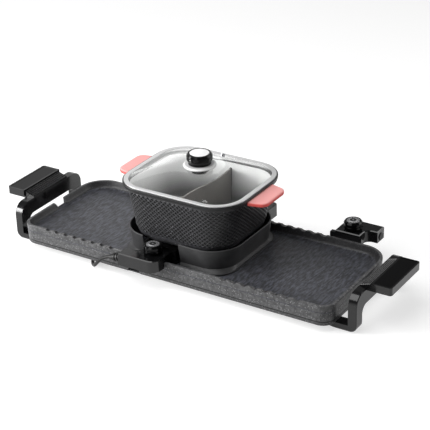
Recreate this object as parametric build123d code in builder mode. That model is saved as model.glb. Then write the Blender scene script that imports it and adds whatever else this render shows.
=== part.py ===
"""Electric hot pot on a long two-sided grill tray: tray and pan, heated collar, divided pot, glass lid.

Frame: +X along the tray, +Y to the back, +Z up, millimetres. The origin is on the table, in the middle of
the appliance's overall box, so the tray and the pot stand a little in front of it (centre_y).
"""
from build123d import *
from math import radians, tan
import os

os.makedirs("parts", exist_ok=True)

# ---------------------------------------------------------------- clearances
seat_gap = 0.3            # between pieces that lift off and what they stand on
sheet_gap = 0.1           # between a heater and the plate it is clipped to
turn_gap = 0.05           # radial, shaft in its bearing
slip_gap = 1.0            # radial, screw or shaft through a free hole

# ---------------------------------------------------------------- tray and bottom pan
tray_length = 665.0       # over the rim
tray_front = 121.5        # pot centre to the front edge of the rim
tray_back = 119.5         # pot centre to the back edge of the rim
front_corner = 26.0
back_corner = 52.0
ground_clearance = 13.0   # table to the pan's underside
pan_height = 9.0          # pan's underside to the seam below the casting
skirt_height = 30.5       # seam to the rim
tray_depth = 13.5         # rim to the cooking surface
rim_width = 6.0
rim_fillet = 1.2          # upper edges of the tray and of the collar
inside_slope = 5.0        # how far the inner wall runs in on its way down
draft = 1.5               # how far the outer wall runs in on its way down
skirt_wall = 4.5
tray_floor = 4.0
floor_fillet = 8.0
pan_inset = 2.0
pan_wall = 2.5
pan_floor = 2.0
pan_fillet = 2.2
pan_lip = 3.0             # inner lip that locates the pan in the skirt
well_length = 190.0       # opening under the pot
well_width = 160.0
well_corner = 45.0
arch_x = -74.0            # cord arch in the pan's front wall
arch_width = 28.0
arch_height = 7.0
spout_width = 25.0        # drain spout in the left end
spout_y = -4.0
spout_flare = 7.0         # how far its front side leans out
scallop_pitch = 21.0      # wavy stretches of the rim
scallop_depth = 2.5
scallop_radius = 11.0
front_scallop_start = 120.0   # first dip from the middle
front_scallop_count = 8
back_scallop_start = 88.0
back_scallop_count = 6
screw_radius = 2.0
screw_head_radius = 4.0
screw_head_height = 2.5
boss_radius = 5.0
screw_depth = 14.0        # thread in a boss
screw_tip_gap = 1.0       # screw's end to the bottom of its hole
boss_roof = 1.0           # metal over the hole in a collar boss
tray_boss_x = 130.0
tray_boss_y = 98.0

# ---------------------------------------------------------------- grill heaters
element_radius = 3.25
heater_inner_x = 140.0
heater_outer_x = 285.0
heater_half_width = 62.0
heater_bend = 25.0
clip_width = 12.0
clip_thickness = 1.5
clip_flange = 6.0

# ---------------------------------------------------------------- collar and what heats the pot
collar_height = 47.0
collar_length = 235.0
collar_width = 206.0
collar_corner = 60.0
collar_wall = 3.0
waist_height = 9.0        # the wall flares out to the foot below this height
waist_length = 222.0
waist_width = 192.0
waist_corner = 48.0
foot_thickness = 3.0
foot_length = 231.0
foot_width = 203.0
foot_corner = 40.0
foot_bevel = 2.0          # how far its upper edge runs in
collar_boss_inset = 19.0  # from the waist's outer faces
collar_x = -3.0           # the collar stands a little left of the pot's middle
reflector_gap = 1.5       # dish to the well's edge
reflector_flange = 5.5
reflector_depth = 15.0
reflector_sheet = 1.2
plate_radius = 76.0
plate_thickness = 9.0
plate_chamfer = 1.5
plate_height = 30.7       # cooking surface of the tray to the top of the heating plate
plate_leg_radius = 5.0
plate_leg_circle = 38.0
plate_legs = 3
ring_radius = 57.0        # tubular element under the plate
ring_arc = 330.0          # degrees
cutout_radius = 9.0
cutout_height = 8.0
cutout_fillet = 1.5

# ---------------------------------------------------------------- housings on the collar and the tray
housing_x = -23.5         # front socket housing, in the collar's cut-out
housing_width = 77.0
housing_height = 29.3
housing_back_y = 79.5
housing_plate_y = 83.0
housing_nose_y = 96.0
housing_cheek = 2.5
nose_x = -22.25
nose_width = 55.5
nose_chamfer = 3.0
rear_housing_x = 47.0
rear_housing_width = 66.0
rear_housing_depth = 46.0
rear_housing_height = 25.0
rear_housing_lift = 2.5   # above the rim
rear_housing_corner = 6.0
socket_width = 60.0
socket_wall = 2.0
socket_over_rim = 9.0
socket_below_rim = 22.0
socket_ledge_width = 10.5
socket_ledge_depth = 11.0
socket_ledge_height = 24.0
socket_ledge_drop = 2.0

# ---------------------------------------------------------------- control units
front_unit_x = -28.5
back_unit_x = 238.5
unit_width = 51.0
unit_depth = 55.0
front_arm = 30.5          # arm beyond the main block
back_arm = 22.5
arm_depth = 27.0
unit_below_rim = 10.0
unit_above_rim = 13.0
unit_over_rim_gap = 1.0
cover_height = 7.5
unit_wall = 2.0
unit_corner = 18.0
unit_notch = 13.0
unit_edge = 1.5
thermostat_width = 24.0
thermostat_depth = 22.0
probe_radius = 2.5
probe_tip = 1.0           # rounding
probe_margin = 1.0        # back probe above the unit's floor
probe_over_split = 1.5    # middle of the front probe above the split
probe_reach = 18.0        # front probe, beyond the unit's inner face
sensor_reach = 5.0        # back probe, into the tray's wall
blind_gap = 0.5           # probe's tip to the bottom of its hole
unit_screw_radius = 1.5
unit_screw_head = 2.8
unit_screw_head_height = 1.8
unit_screw_depth = 10.0
unit_boss_radius = 3.2
unit_boss_inset = 8.5     # in from the arm's end and from the block's side
arm_boss_shift = 6.5      # from the middle of the arm
block_boss_inset = 7.5    # in from the outer face
corner_boss_inset = 11.0  # in from both faces, at the rounded corner

# ---------------------------------------------------------------- knobs
knob_x = -1.5             # from the middle of the control unit
knob_y = 20.5             # from the unit's inner face
knob_radius = 17.5
knob_top_radius = 15.0
knob_neck_radius = 12.5
knob_groove_radius = 16.3
knob_height = 17.0
knob_neck_height = 2.5
knob_underside = 0.5      # slope of the underside
knob_bevel = 0.8
knob_groove_z = 7.2
knob_groove_width = 1.2   # flat bottom
knob_shoulder = 3.0
knob_gap = 0.5
dial_radius = 13.0
dial_thickness = 1.0
dial_recess = 0.8
dial_bevel = 0.4
dial_boss_radius = 7.5
dial_boss_rise = 0.6
shaft_radius = 3.0
shaft_in_knob = 11.0
shaft_in_thermostat = 4.0

# ---------------------------------------------------------------- handles and feet
frame_gap = 21.0          # rim's end to the frame's inner face
frame_thickness = 16.5
frame_half_width = 94.0
frame_post = 23.0
frame_height = 72.0
frame_bar = 29.0
frame_corner = 24.0
frame_opening_corner = 14.0
frame_edge = 2.0
foot_toe = 47.0           # how far each foot runs in under the pan
foot_screw_inset = 38.5   # screw through the foot, in from the frame
foot_screw_sink = 6.0
foot_heel = 13.0          # rounding of the foot's outer bottom edge
toe_rise = 4.0
grip_gap_x = 6.0          # frame's outer face to the grip's upper part
grip_depth = 40.0
grip_length = 113.0
grip_bottom = 68.5
grip_top = 83.0
grip_rim = 3.0
grip_recess = 2.0
grip_corner = 5.0
grip_wall = 2.5
strip_length = 106.0
strip_low = 1.5
strip_high = 8.0
strip_inset = 1.5         # from the frame's inner face
inlay_thickness = 1.2
grip_screw_y = 38.0
grip_screw_inset = 10.2   # from the frame's inner face
grip_screw_depth = 3.0    # thread in the grip
grip_screw_sink = 21.0
pad_radius = 8.0
pad_thickness = 3.0
pad_proud = 1.5
pad_offset = 1.0          # out from the frame's inner face

# ---------------------------------------------------------------- pot
pot_height = 102.0
pot_base_length = 200.0
pot_base_width = 189.0
pot_base_corner = 53.0
pot_top_length = 240.0
pot_top_width = 198.0
pot_top_corner = 57.0
pot_wall = 3.0
pot_floor = 4.0
pot_edge = 18.0
lip_overhang = 6.5
lip_corner_trim = 4.0     # the lip's corners are that much tighter than an even border
lip_height = 4.0
lip_fillet = 1.0
divider_x = 5.0
divider_bow = 6.0
divider_thickness = 3.5
divider_height = 86.0     # above the pot's underside
tongue_reach = 28.0       # ear tongue beyond the lip
tongue_half_width = 33.0
tongue_thickness = 4.0
tongue_corner = 8.0
tongue_below_lip = 2.5
sleeve_reach = 33.5
sleeve_root = 88.0
sleeve_tip = 72.0
sleeve_thickness = 8.0
sleeve_corner = 16.0
sleeve_edge = 3.0

# ---------------------------------------------------------------- lid
lid_inset = 1.5           # inside the pot's lip, each side
lid_sheet = 1.0
band_fillet = 0.6
lid_flange = 8.5
glass_thickness = 3.5
dome_height = 21.0
crown_length = 74.0
crown_width = 68.0
crown_corner = 33.0
# share of the way in to the crown, share of the rise
dome_profile = ((0.0, 0.0), (0.36, 0.52), (0.7, 0.84), (1.0, 1.0))
knob_base_radius = 30.5
knob_base_height = 3.3
knob_base_edge = 1.0
knob_base_slope = 3.0
lid_neck_radius = 21.3
lid_knob_radius = 24.0
lid_knob_height = 20.5
lid_neck_height = 4.5
lid_flare_height = 4.5
lid_shoulder_height = 4.0
lid_shoulder_width = 2.5
lid_knob_fillet = 1.0
cap_radius = 17.75
cap_thickness = 2.5
cap_recess = 1.5
boss_under_radius = 17.5
boss_under_height = 10.0
boss_under_bevel = 2.0
lid_screw_radius = 2.5
lid_screw_head = 5.0
lid_screw_head_height = 3.0
lid_screw_head_bevel = 1.0
lid_screw_grip = 13.0     # thread in the knob
vent_y = 78.0
vent_radius = 4.5
vent_hole = 1.6
vent_length = 7.0
vent_tilt = 22.0          # degrees, square to the glass there
vent_rise = 9.0

# ---------------------------------------------------------------- mains lead
cord_radius = 3.25
relief_length = 28.0
relief_root_radius = 9.5
relief_tip_radius = 5.0
relief_drop = 3.0         # outlet below the middle of the arm
relief_tilt = 14.0        # degrees, how far the relief leans down
relief_catch = 0.4        # radial, flange inside the wall
relief_flange = 1.5
relief_inset = 4.0        # root inside the unit
relief_ribs = 3
relief_rib = 4.5
relief_slot = 2.5
relief_slot_depth = 3.5
relief_taper = 0.09       # radius lost per millimetre
grommet_flange = 1.5
grommet_fillet = 0.8
lie_gap = 0.15            # lead above the table
lead_out = 16.0           # straight run out of the relief
# down to the table, in front of the tray's left half
lead_corners = (
    (-146.0, -135.5, 22.0), (-160.0, -127.0, 7.5),
)
# under the tray and out behind it
lead_on_table = (
    (-178.0, -108.0), (-193.0, -80.0), (-199.0, -45.0), (-194.0, -6.0), (-181.0, 34.0), (-166.0, 72.0),
    (-152.0, 108.0), (-143.0, 140.0),
)
lead_into_coil = 20.0     # its end, in front of the coil's middle
coil_x = -105.0
coil_y = 190.0
coil_mid_radius = 35.75
coil_turn_rows = 2
tail_start = 11.0         # behind the coil's middle
tail_turn = -5.0
tail_sag = 0.5
tail_bends = ((47.0, -18.9), (60.9, -26.9), (77.0, -26.9))    # from the coil's middle
plug_length = 34.0
plug_width = 27.0
plug_height = 16.0
plug_neck = 14.0
plug_neck_flare = 2.0
plug_flat = 1.0           # straight part of its ends
plug_fillet = 1.5
pin_radius = 2.4
pin_length = 19.0
pin_fillet = 1.2
pin_spacing = 19.0

# ---------------------------------------------------------------- places worked out from the sizes
pan_z = ground_clearance
pan_floor_z = pan_z + pan_floor
parting_z = pan_z + pan_height
rim_z = parting_z + skirt_height
floor_z = rim_z - tray_depth
under_floor_z = floor_z - tray_floor
collar_top_z = floor_z + collar_height
plate_top_z = floor_z + plate_height
pot_z = plate_top_z + seat_gap
pot_rim_z = pot_z + pot_height
lid_z = pot_rim_z + seat_gap
lid_top_z = lid_z + 2 * lid_sheet + glass_thickness
glass_crown_z = lid_top_z + dome_height
unit_z = rim_z - unit_below_rim
unit_top_z = rim_z + unit_above_rim
unit_split_z = unit_top_z - cover_height
front_inner = housing_nose_y                  # inner faces of the control units
back_inner = tray_back + socket_wall
centre_y = (front_inner - back_inner) / 2     # puts the origin in the middle of the overall box
tray_half = tray_length / 2
frame_inner_x = tray_half + frame_gap
frame_outer_x = frame_inner_x + frame_thickness
probe_z = {
    "front": unit_split_z + probe_over_split,
    "back": unit_z + unit_wall + probe_radius + probe_margin,
}


def level(height):
    """Horizontal sketch plane over the pot's centre; it extrudes upwards."""
    return Plane((0, centre_y, height), x_dir=(1, 0, 0), z_dir=(0, 0, 1))


def facing_right(x):
    """Sketch plane across the tray: sketch X is the appliance's Y, sketch Y is up, extrudes to +X."""
    return Plane((x, centre_y, 0), x_dir=(0, 1, 0), z_dir=(1, 0, 0))


def facing_front(y):
    """Sketch plane along the tray: sketch X is the appliance's X, sketch Y is up, extrudes to -Y."""
    return Plane((0, centre_y + y, 0), x_dir=(1, 0, 0), z_dir=(0, -1, 0))


def four(x, y):
    """The four places (+-x, +-y)."""
    return [(sx * x, sy * y) for sx in (-1, 1) for sy in (-1, 1)]


def tray_outline(inset):
    """The tray's outline, inset from the rim's edge: tight corners in front, wide ones behind."""
    with Locations((0, (tray_back - tray_front) / 2)):
        Rectangle(tray_length - 2 * inset, tray_front + tray_back - 2 * inset)
    fillet(vertices().group_by(Axis.Y)[0], radius=front_corner - inset)
    fillet(vertices().group_by(Axis.Y)[-1], radius=back_corner - inset)


# ================================================================ tray, pan and grill heaters
frame_screw_places = four(frame_inner_x - foot_screw_inset, frame_half_width - frame_post / 2)
tray_screw_places = four(tray_boss_x, tray_boss_y)
collar_screw_places = [
    (collar_x + x, y)
    for x, y in four(waist_length / 2 - collar_boss_inset, waist_width / 2 - collar_boss_inset)
]

with BuildPart() as grill_tray:
    for height, inset in ((parting_z, draft), (rim_z, 0)):
        with BuildSketch(level(height)):
            tray_outline(inset)
    loft(ruled=True)
    for height, inset in ((floor_z, rim_width + inside_slope), (rim_z, rim_width)):
        with BuildSketch(level(height)):
            tray_outline(inset)
    loft(ruled=True, mode=Mode.SUBTRACT)
    fillet(edges().filter_by_position(Axis.Z, floor_z, floor_z), radius=floor_fillet)
    fillet(edges().filter_by_position(Axis.Z, rim_z, rim_z), radius=rim_fillet)
    with BuildSketch(level(parting_z)):
        tray_outline(draft + skirt_wall)
    extrude(amount=under_floor_z - parting_z, mode=Mode.SUBTRACT)
    # bosses for the screws that come up through the pan, and their pilot holes
    with BuildSketch(level(pan_floor_z)):
        with Locations(*frame_screw_places, *tray_screw_places):
            Circle(boss_radius)
    extrude(amount=under_floor_z - pan_floor_z)
    with BuildSketch(level(pan_floor_z)):
        with Locations(*frame_screw_places, *tray_screw_places):
            Circle(screw_radius)
    extrude(amount=screw_depth, mode=Mode.SUBTRACT)
    # well under the pot, and free holes for the collar's screws
    with BuildSketch(level(under_floor_z)):
        RectangleRounded(well_length, well_width, well_corner)
        with Locations(*collar_screw_places):
            Circle(screw_radius)
    extrude(amount=tray_floor, mode=Mode.SUBTRACT)
    # drain spout through the left end
    with BuildSketch(facing_right(-tray_half - draft)):
        with Locations((spout_y, floor_z)):
            Polygon(
                (-spout_width / 2, 0), (spout_width / 2, 0), (spout_width / 2, tray_depth),
                (-spout_width / 2 - spout_flare, tray_depth), align=None,
            )
    extrude(amount=rim_width + inside_slope + floor_fillet, mode=Mode.SUBTRACT)
    # wavy stretches of the rim, in front of and behind both grilling areas
    wave_z = rim_z + scallop_radius - scallop_depth
    for wall_y, first, count in (
        (-tray_front, front_scallop_start, front_scallop_count),
        (tray_back, back_scallop_start, back_scallop_count),
    ):
        with BuildSketch(facing_front(wall_y)):
            for side in (-1, 1):
                for number in range(count):
                    with Locations((side * (first + number * scallop_pitch), wave_z)):
                        Circle(scallop_radius)
        extrude(amount=2 * (rim_width + inside_slope), both=True, mode=Mode.SUBTRACT)
    # blind hole for the back control unit's temperature sensor
    with BuildSketch(facing_front(tray_back)):
        with Locations((back_unit_x, probe_z["back"])):
            Circle(probe_radius + 2 * turn_gap)
    extrude(amount=sensor_reach + blind_gap, both=True, mode=Mode.SUBTRACT)
grill_tray.part.label = "grill_tray"
export_step(grill_tray.part, "parts/grill_tray.step")

with BuildPart() as base_pan:
    with BuildSketch(level(pan_z)):
        tray_outline(pan_inset)
    extrude(amount=pan_height)
    fillet(edges().filter_by_position(Axis.Z, pan_z, pan_z), radius=pan_fillet)
    with BuildSketch(level(parting_z)):
        tray_outline(draft + skirt_wall + seat_gap)
    extrude(amount=pan_lip)
    # hollow inside, with a flange under the lip
    for inset, bottom, top in (
        (pan_inset + pan_wall, pan_floor_z, parting_z - pan_floor),
        (draft + skirt_wall + seat_gap + pan_wall, parting_z - pan_floor, parting_z + pan_lip),
    ):
        with BuildSketch(level(bottom)):
            tray_outline(inset)
        extrude(amount=top - bottom, mode=Mode.SUBTRACT)
    with BuildSketch(level(pan_z)):
        with Locations(*frame_screw_places, *tray_screw_places):
            Circle(screw_radius)
    extrude(amount=pan_floor, mode=Mode.SUBTRACT)
    # arch that lets the lead pass under the front wall
    with BuildSketch(facing_front(pan_inset + pan_wall - tray_front)):
        with Locations((arch_x, pan_z)):
            Rectangle(arch_width, arch_height, align=(Align.CENTER, Align.MIN))
        fillet(vertices().group_by(Axis.Y)[-1], radius=0.8 * arch_height)
    extrude(amount=pan_inset + pan_wall, mode=Mode.SUBTRACT)
base_pan.part.label = "base_pan"
export_step(base_pan.part, "parts/base_pan.step")

with BuildPart() as base_screws:
    # long screws come up through the feet, short ones through the pan alone
    foot_seat_z = pad_proud + foot_screw_sink
    for places, seat_z in ((frame_screw_places, foot_seat_z), (tray_screw_places, pan_z)):
        with BuildSketch(level(seat_z - screw_head_height)):
            with Locations(*places):
                Circle(screw_head_radius)
        extrude(amount=screw_head_height)
        with BuildSketch(level(seat_z)):
            with Locations(*places):
                Circle(screw_radius)
        extrude(amount=pan_floor_z + screw_depth - screw_tip_gap - seat_z)
base_screws.part.label = "base_screws"
export_step(base_screws.part, "parts/base_screws.step")

element_z = under_floor_z - sheet_gap - element_radius
for side, name in ((-1, "left_grill_heater"), (1, "right_grill_heater")):
    with BuildPart() as grill_heater:
        with BuildLine(level(element_z)) as heater_path:
            FilletPolyline(
                (side * heater_inner_x, -heater_half_width / 3),
                (side * heater_inner_x, -heater_half_width),
                (side * heater_outer_x, -heater_half_width),
                (side * heater_outer_x, heater_half_width),
                (side * heater_inner_x, heater_half_width),
                (side * heater_inner_x, heater_half_width / 3),
                radius=[heater_bend / 2, heater_bend, heater_bend, heater_bend / 2],
            )
        with BuildSketch(Plane(heater_path.line @ 0, z_dir=heater_path.line % 0)):
            Circle(element_radius)
        sweep()
    grill_heater.part.label = name
    export_step(grill_heater.part, f"parts/{name}.step")

with BuildPart() as heater_clips:
    # a bent strap over the element at the middle of each long side
    clip_places = four((heater_inner_x + heater_outer_x) / 2, heater_half_width)
    clip_drop = 2 * element_radius + sheet_gap + clip_thickness
    strap_half = element_radius + sheet_gap + clip_thickness
    with BuildSketch(level(under_floor_z - clip_drop)):
        with Locations(*clip_places):
            Rectangle(clip_width, 2 * (strap_half + clip_flange))
    extrude(amount=clip_drop)
    with BuildSketch(level(under_floor_z - clip_drop + clip_thickness)):
        with Locations(*clip_places):
            Rectangle(clip_width, 2 * (element_radius + sheet_gap))
    extrude(amount=clip_drop, mode=Mode.SUBTRACT)
    with BuildSketch(level(under_floor_z - clip_drop)):
        for x, y in clip_places:
            for side in (-1, 1):
                with Locations((x, y + side * (strap_half + clip_flange / 2))):
                    Rectangle(clip_width, clip_flange)
    extrude(amount=clip_drop - clip_thickness, mode=Mode.SUBTRACT)
heater_clips.part.label = "heater_clips"
export_step(heater_clips.part, "parts/heater_clips.step")

# ================================================================ collar, reflector, heating plate
with BuildPart() as collar_form:
    with BuildSketch(level(floor_z)):
        with Locations((collar_x, 0)):
            RectangleRounded(foot_length, foot_width, foot_corner)
    extrude(amount=foot_thickness)
    for height, length, width, corner in (
        (foot_thickness, foot_length - 2 * foot_bevel, foot_width - 2 * foot_bevel, foot_corner - foot_bevel),
        (waist_height, waist_length, waist_width, waist_corner),
        (collar_height, collar_length, collar_width, collar_corner),
    ):
        with BuildSketch(level(floor_z + height)):
            with Locations((collar_x, 0)):
                RectangleRounded(length, width, corner)
    loft(ruled=True)

with BuildPart() as pot_collar:
    add(collar_form.part)
    for height, length, width, corner in (
        (0, waist_length, waist_width, waist_corner),
        (waist_height, waist_length, waist_width, waist_corner),
        (collar_height, collar_length, collar_width, collar_corner),
    ):
        with BuildSketch(level(floor_z + height)):
            with Locations((collar_x, 0)):
                RectangleRounded(length - 2 * collar_wall, width - 2 * collar_wall, corner - collar_wall)
    loft(ruled=True, mode=Mode.SUBTRACT)
    fillet(edges().filter_by_position(Axis.Z, collar_top_z, collar_top_z), radius=rim_fillet)
    with BuildSketch(level(floor_z)):
        with Locations(*collar_screw_places):
            Circle(boss_radius)
    extrude(amount=waist_height)
    with BuildSketch(level(floor_z)):
        with Locations(*collar_screw_places):
            Circle(screw_radius)
    extrude(amount=waist_height - boss_roof, mode=Mode.SUBTRACT)
    # cut-out for the front socket housing
    with BuildSketch(level(floor_z)):
        with Locations((housing_x, -(housing_plate_y + collar_width) / 2)):
            Rectangle(housing_width, collar_width - housing_plate_y)
    extrude(amount=collar_height, mode=Mode.SUBTRACT)
pot_collar.part.label = "pot_collar"
export_step(pot_collar.part, "parts/pot_collar.step")

with BuildPart() as collar_screws:
    with BuildSketch(level(under_floor_z - screw_head_height)):
        with Locations(*collar_screw_places):
            Circle(screw_head_radius)
    extrude(amount=screw_head_height)
    with BuildSketch(level(under_floor_z)):
        with Locations(*collar_screw_places):
            Circle(screw_radius)
    extrude(amount=tray_floor + waist_height - boss_roof - screw_tip_gap)
collar_screws.part.label = "collar_screws"
export_step(collar_screws.part, "parts/collar_screws.step")

reflector_z = floor_z - reflector_depth
reflector_length = well_length - 2 * reflector_gap
reflector_width = well_width - 2 * reflector_gap
reflector_corner = well_corner - 2 * reflector_gap
with BuildPart() as reflector_dish:
    with BuildSketch(level(floor_z)):
        RectangleRounded(
            reflector_length + 2 * reflector_flange, reflector_width + 2 * reflector_flange,
            reflector_corner + reflector_flange,
        )
    extrude(amount=reflector_sheet)
    with BuildSketch(level(reflector_z)):
        RectangleRounded(reflector_length, reflector_width, reflector_corner)
    extrude(amount=reflector_depth)
    with BuildSketch(level(reflector_z + reflector_sheet)):
        RectangleRounded(
            reflector_length - 2 * reflector_sheet, reflector_width - 2 * reflector_sheet,
            reflector_corner - reflector_sheet,
        )
    extrude(amount=reflector_depth, mode=Mode.SUBTRACT)
reflector_dish.part.label = "reflector_dish"
export_step(reflector_dish.part, "parts/reflector_dish.step")

plate_z = plate_top_z - plate_thickness
with BuildPart() as heating_plate:
    with BuildSketch(level(plate_z)):
        Circle(plate_radius)
    extrude(amount=plate_thickness)
    chamfer(edges().filter_by_position(Axis.Z, plate_top_z, plate_top_z), length=plate_chamfer)
    with BuildSketch(level(reflector_z + reflector_sheet)):
        with PolarLocations(plate_leg_circle, plate_legs):
            Circle(plate_leg_radius)
    extrude(amount=plate_z - reflector_z - reflector_sheet)
heating_plate.part.label = "heating_plate"
export_step(heating_plate.part, "parts/heating_plate.step")

ring_z = plate_z - sheet_gap - element_radius
with BuildPart() as pot_heater:
    with BuildSketch(facing_front(0)):
        with Locations((ring_radius, ring_z)):
            Circle(element_radius)
    revolve(axis=Axis((0, centre_y, 0), (0, 0, 1)), revolution_arc=ring_arc)
pot_heater.part.label = "pot_heater"
export_step(pot_heater.part, "parts/pot_heater.step")

with BuildPart() as thermal_cutout:
    with BuildSketch(level(plate_z - cutout_height)):
        Circle(cutout_radius)
    extrude(amount=cutout_height)
    fillet(edges().group_by(Axis.Z)[0], radius=cutout_fillet)
thermal_cutout.part.label = "thermal_cutout"
export_step(thermal_cutout.part, "parts/thermal_cutout.step")

# ================================================================ housings
housing_z = floor_z + reflector_sheet      # it stands on the dish's flange
with BuildPart() as socket_housing:
    # back plate between two cheeks that close the collar's cut-out
    with BuildSketch(level(housing_z)):
        with Locations((housing_x, -(housing_back_y + housing_plate_y) / 2)):
            Rectangle(housing_width, housing_plate_y - housing_back_y)
    extrude(amount=housing_height)
    with BuildSketch(level(housing_z)):
        for side in (-1, 1):
            with Locations((
                housing_x + side * (housing_width - housing_cheek) / 2,
                -(housing_plate_y + housing_nose_y) / 2,
            )):
                Rectangle(housing_cheek, housing_nose_y - housing_plate_y)
    extrude(amount=housing_height)
    # nose that the front control unit plugs on to
    with BuildSketch(facing_front(-housing_plate_y)):
        with Locations((nose_x, housing_z + housing_height / 2)):
            Rectangle(nose_width, housing_height)
    extrude(amount=housing_nose_y - housing_plate_y)
    nose_face = faces().filter_by(Axis.Y).sort_by(Axis.Y)[0]
    chamfer(nose_face.edges().sort_by(Axis.Z)[-1], length=nose_chamfer)
    with BuildSketch(facing_front(-housing_nose_y)):
        with Locations((front_unit_x, probe_z["front"])):
            Circle(probe_radius + 2 * turn_gap)
    extrude(amount=-probe_reach - blind_gap, mode=Mode.SUBTRACT)
socket_housing.part.label = "socket_housing"
export_step(socket_housing.part, "parts/socket_housing.step")

rear_housing_z = rim_z + rear_housing_lift
with BuildPart() as rear_housing:
    # it hooks over the tray's back rim and lies against the collar's back wall
    with BuildSketch(level(rear_housing_z)):
        with Locations((rear_housing_x, waist_width / 2 + rear_housing_depth / 2)):
            Rectangle(rear_housing_width, rear_housing_depth)
    extrude(amount=rear_housing_height)
    fillet(edges().filter_by(Axis.Z).group_by(Axis.Y)[-1], radius=rear_housing_corner)
    chamfer(faces().sort_by(Axis.Z)[-1].edges(), length=unit_edge)
    add(collar_form.part, mode=Mode.SUBTRACT)
rear_housing.part.label = "rear_housing"
export_step(rear_housing.part, "parts/rear_housing.step")

with BuildPart() as back_socket:
    with BuildSketch(facing_front(back_inner)):
        with Locations((back_unit_x, rim_z + (socket_over_rim - socket_below_rim) / 2)):
            Rectangle(socket_width, socket_over_rim + socket_below_rim)
    extrude(amount=socket_wall)
    ledge_x = back_unit_x - unit_width / 2 - socket_ledge_width / 2
    with BuildSketch(facing_front(back_inner + socket_ledge_depth)):
        with Locations((ledge_x, rim_z + socket_over_rim - socket_ledge_drop - socket_ledge_height / 2)):
            Rectangle(socket_ledge_width, socket_ledge_height)
    extrude(amount=socket_ledge_depth)
    chamfer(edges().filter_by(Axis.X).group_by(Axis.Y)[-1], length=unit_edge)
    with BuildSketch(facing_front(back_inner)):
        with Locations((back_unit_x, probe_z["back"])):
            Circle(probe_radius + 2 * turn_gap)
    extrude(amount=socket_wall, mode=Mode.SUBTRACT)
back_socket.part.label = "back_socket"
export_step(back_socket.part, "parts/back_socket.step")

# ================================================================ control units
# Each unit is drawn from the middle of its inner face, reaching out along its own -Y.
unit_origin = {
    "front": Plane((front_unit_x, centre_y - front_inner, 0), x_dir=(1, 0, 0), z_dir=(0, 0, 1)),
    "back": Plane((back_unit_x, centre_y + back_inner, 0), x_dir=(-1, 0, 0), z_dir=(0, 0, 1)),
}
arm_length = {"front": front_arm, "back": back_arm}
# The front unit passes over the tray's rim, so its floor steps up there.
step_y = {"front": tray_front - front_inner + unit_over_rim_gap, "back": 0.0}
step_z = rim_z + unit_over_rim_gap
outlet_z = (unit_z + unit_top_z) / 2 - relief_drop
outlet_radius = relief_root_radius - relief_slot_depth


def unit_outline(side, inset):
    """L-shaped outline of a control unit, inset by a wall: main block, rounded corner and arm."""
    half = unit_width / 2
    end = -half - arm_length[side]
    with BuildLine() as outline:
        Polyline(
            (-half + inset, -inset), (half - inset, -inset), (half - inset, inset - unit_depth),
            (end + inset, inset - unit_depth), (end + inset, arm_depth - unit_depth - inset),
            (-half + inset, arm_depth - unit_depth - inset), close=True,
        )
    make_face(outline.edges())
    outer = vertices().filter_by(
        lambda point: point.X > 0 and point.Y < -arm_depth
    )
    fillet(outer, radius=unit_corner - inset)
    notch_place = Vector(inset - half, arm_depth - unit_depth - inset)
    notch = vertices().sort_by(lambda point: (Vector(point.X, point.Y) - notch_place).length)[0]
    fillet(notch, radius=unit_notch + inset)


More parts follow.
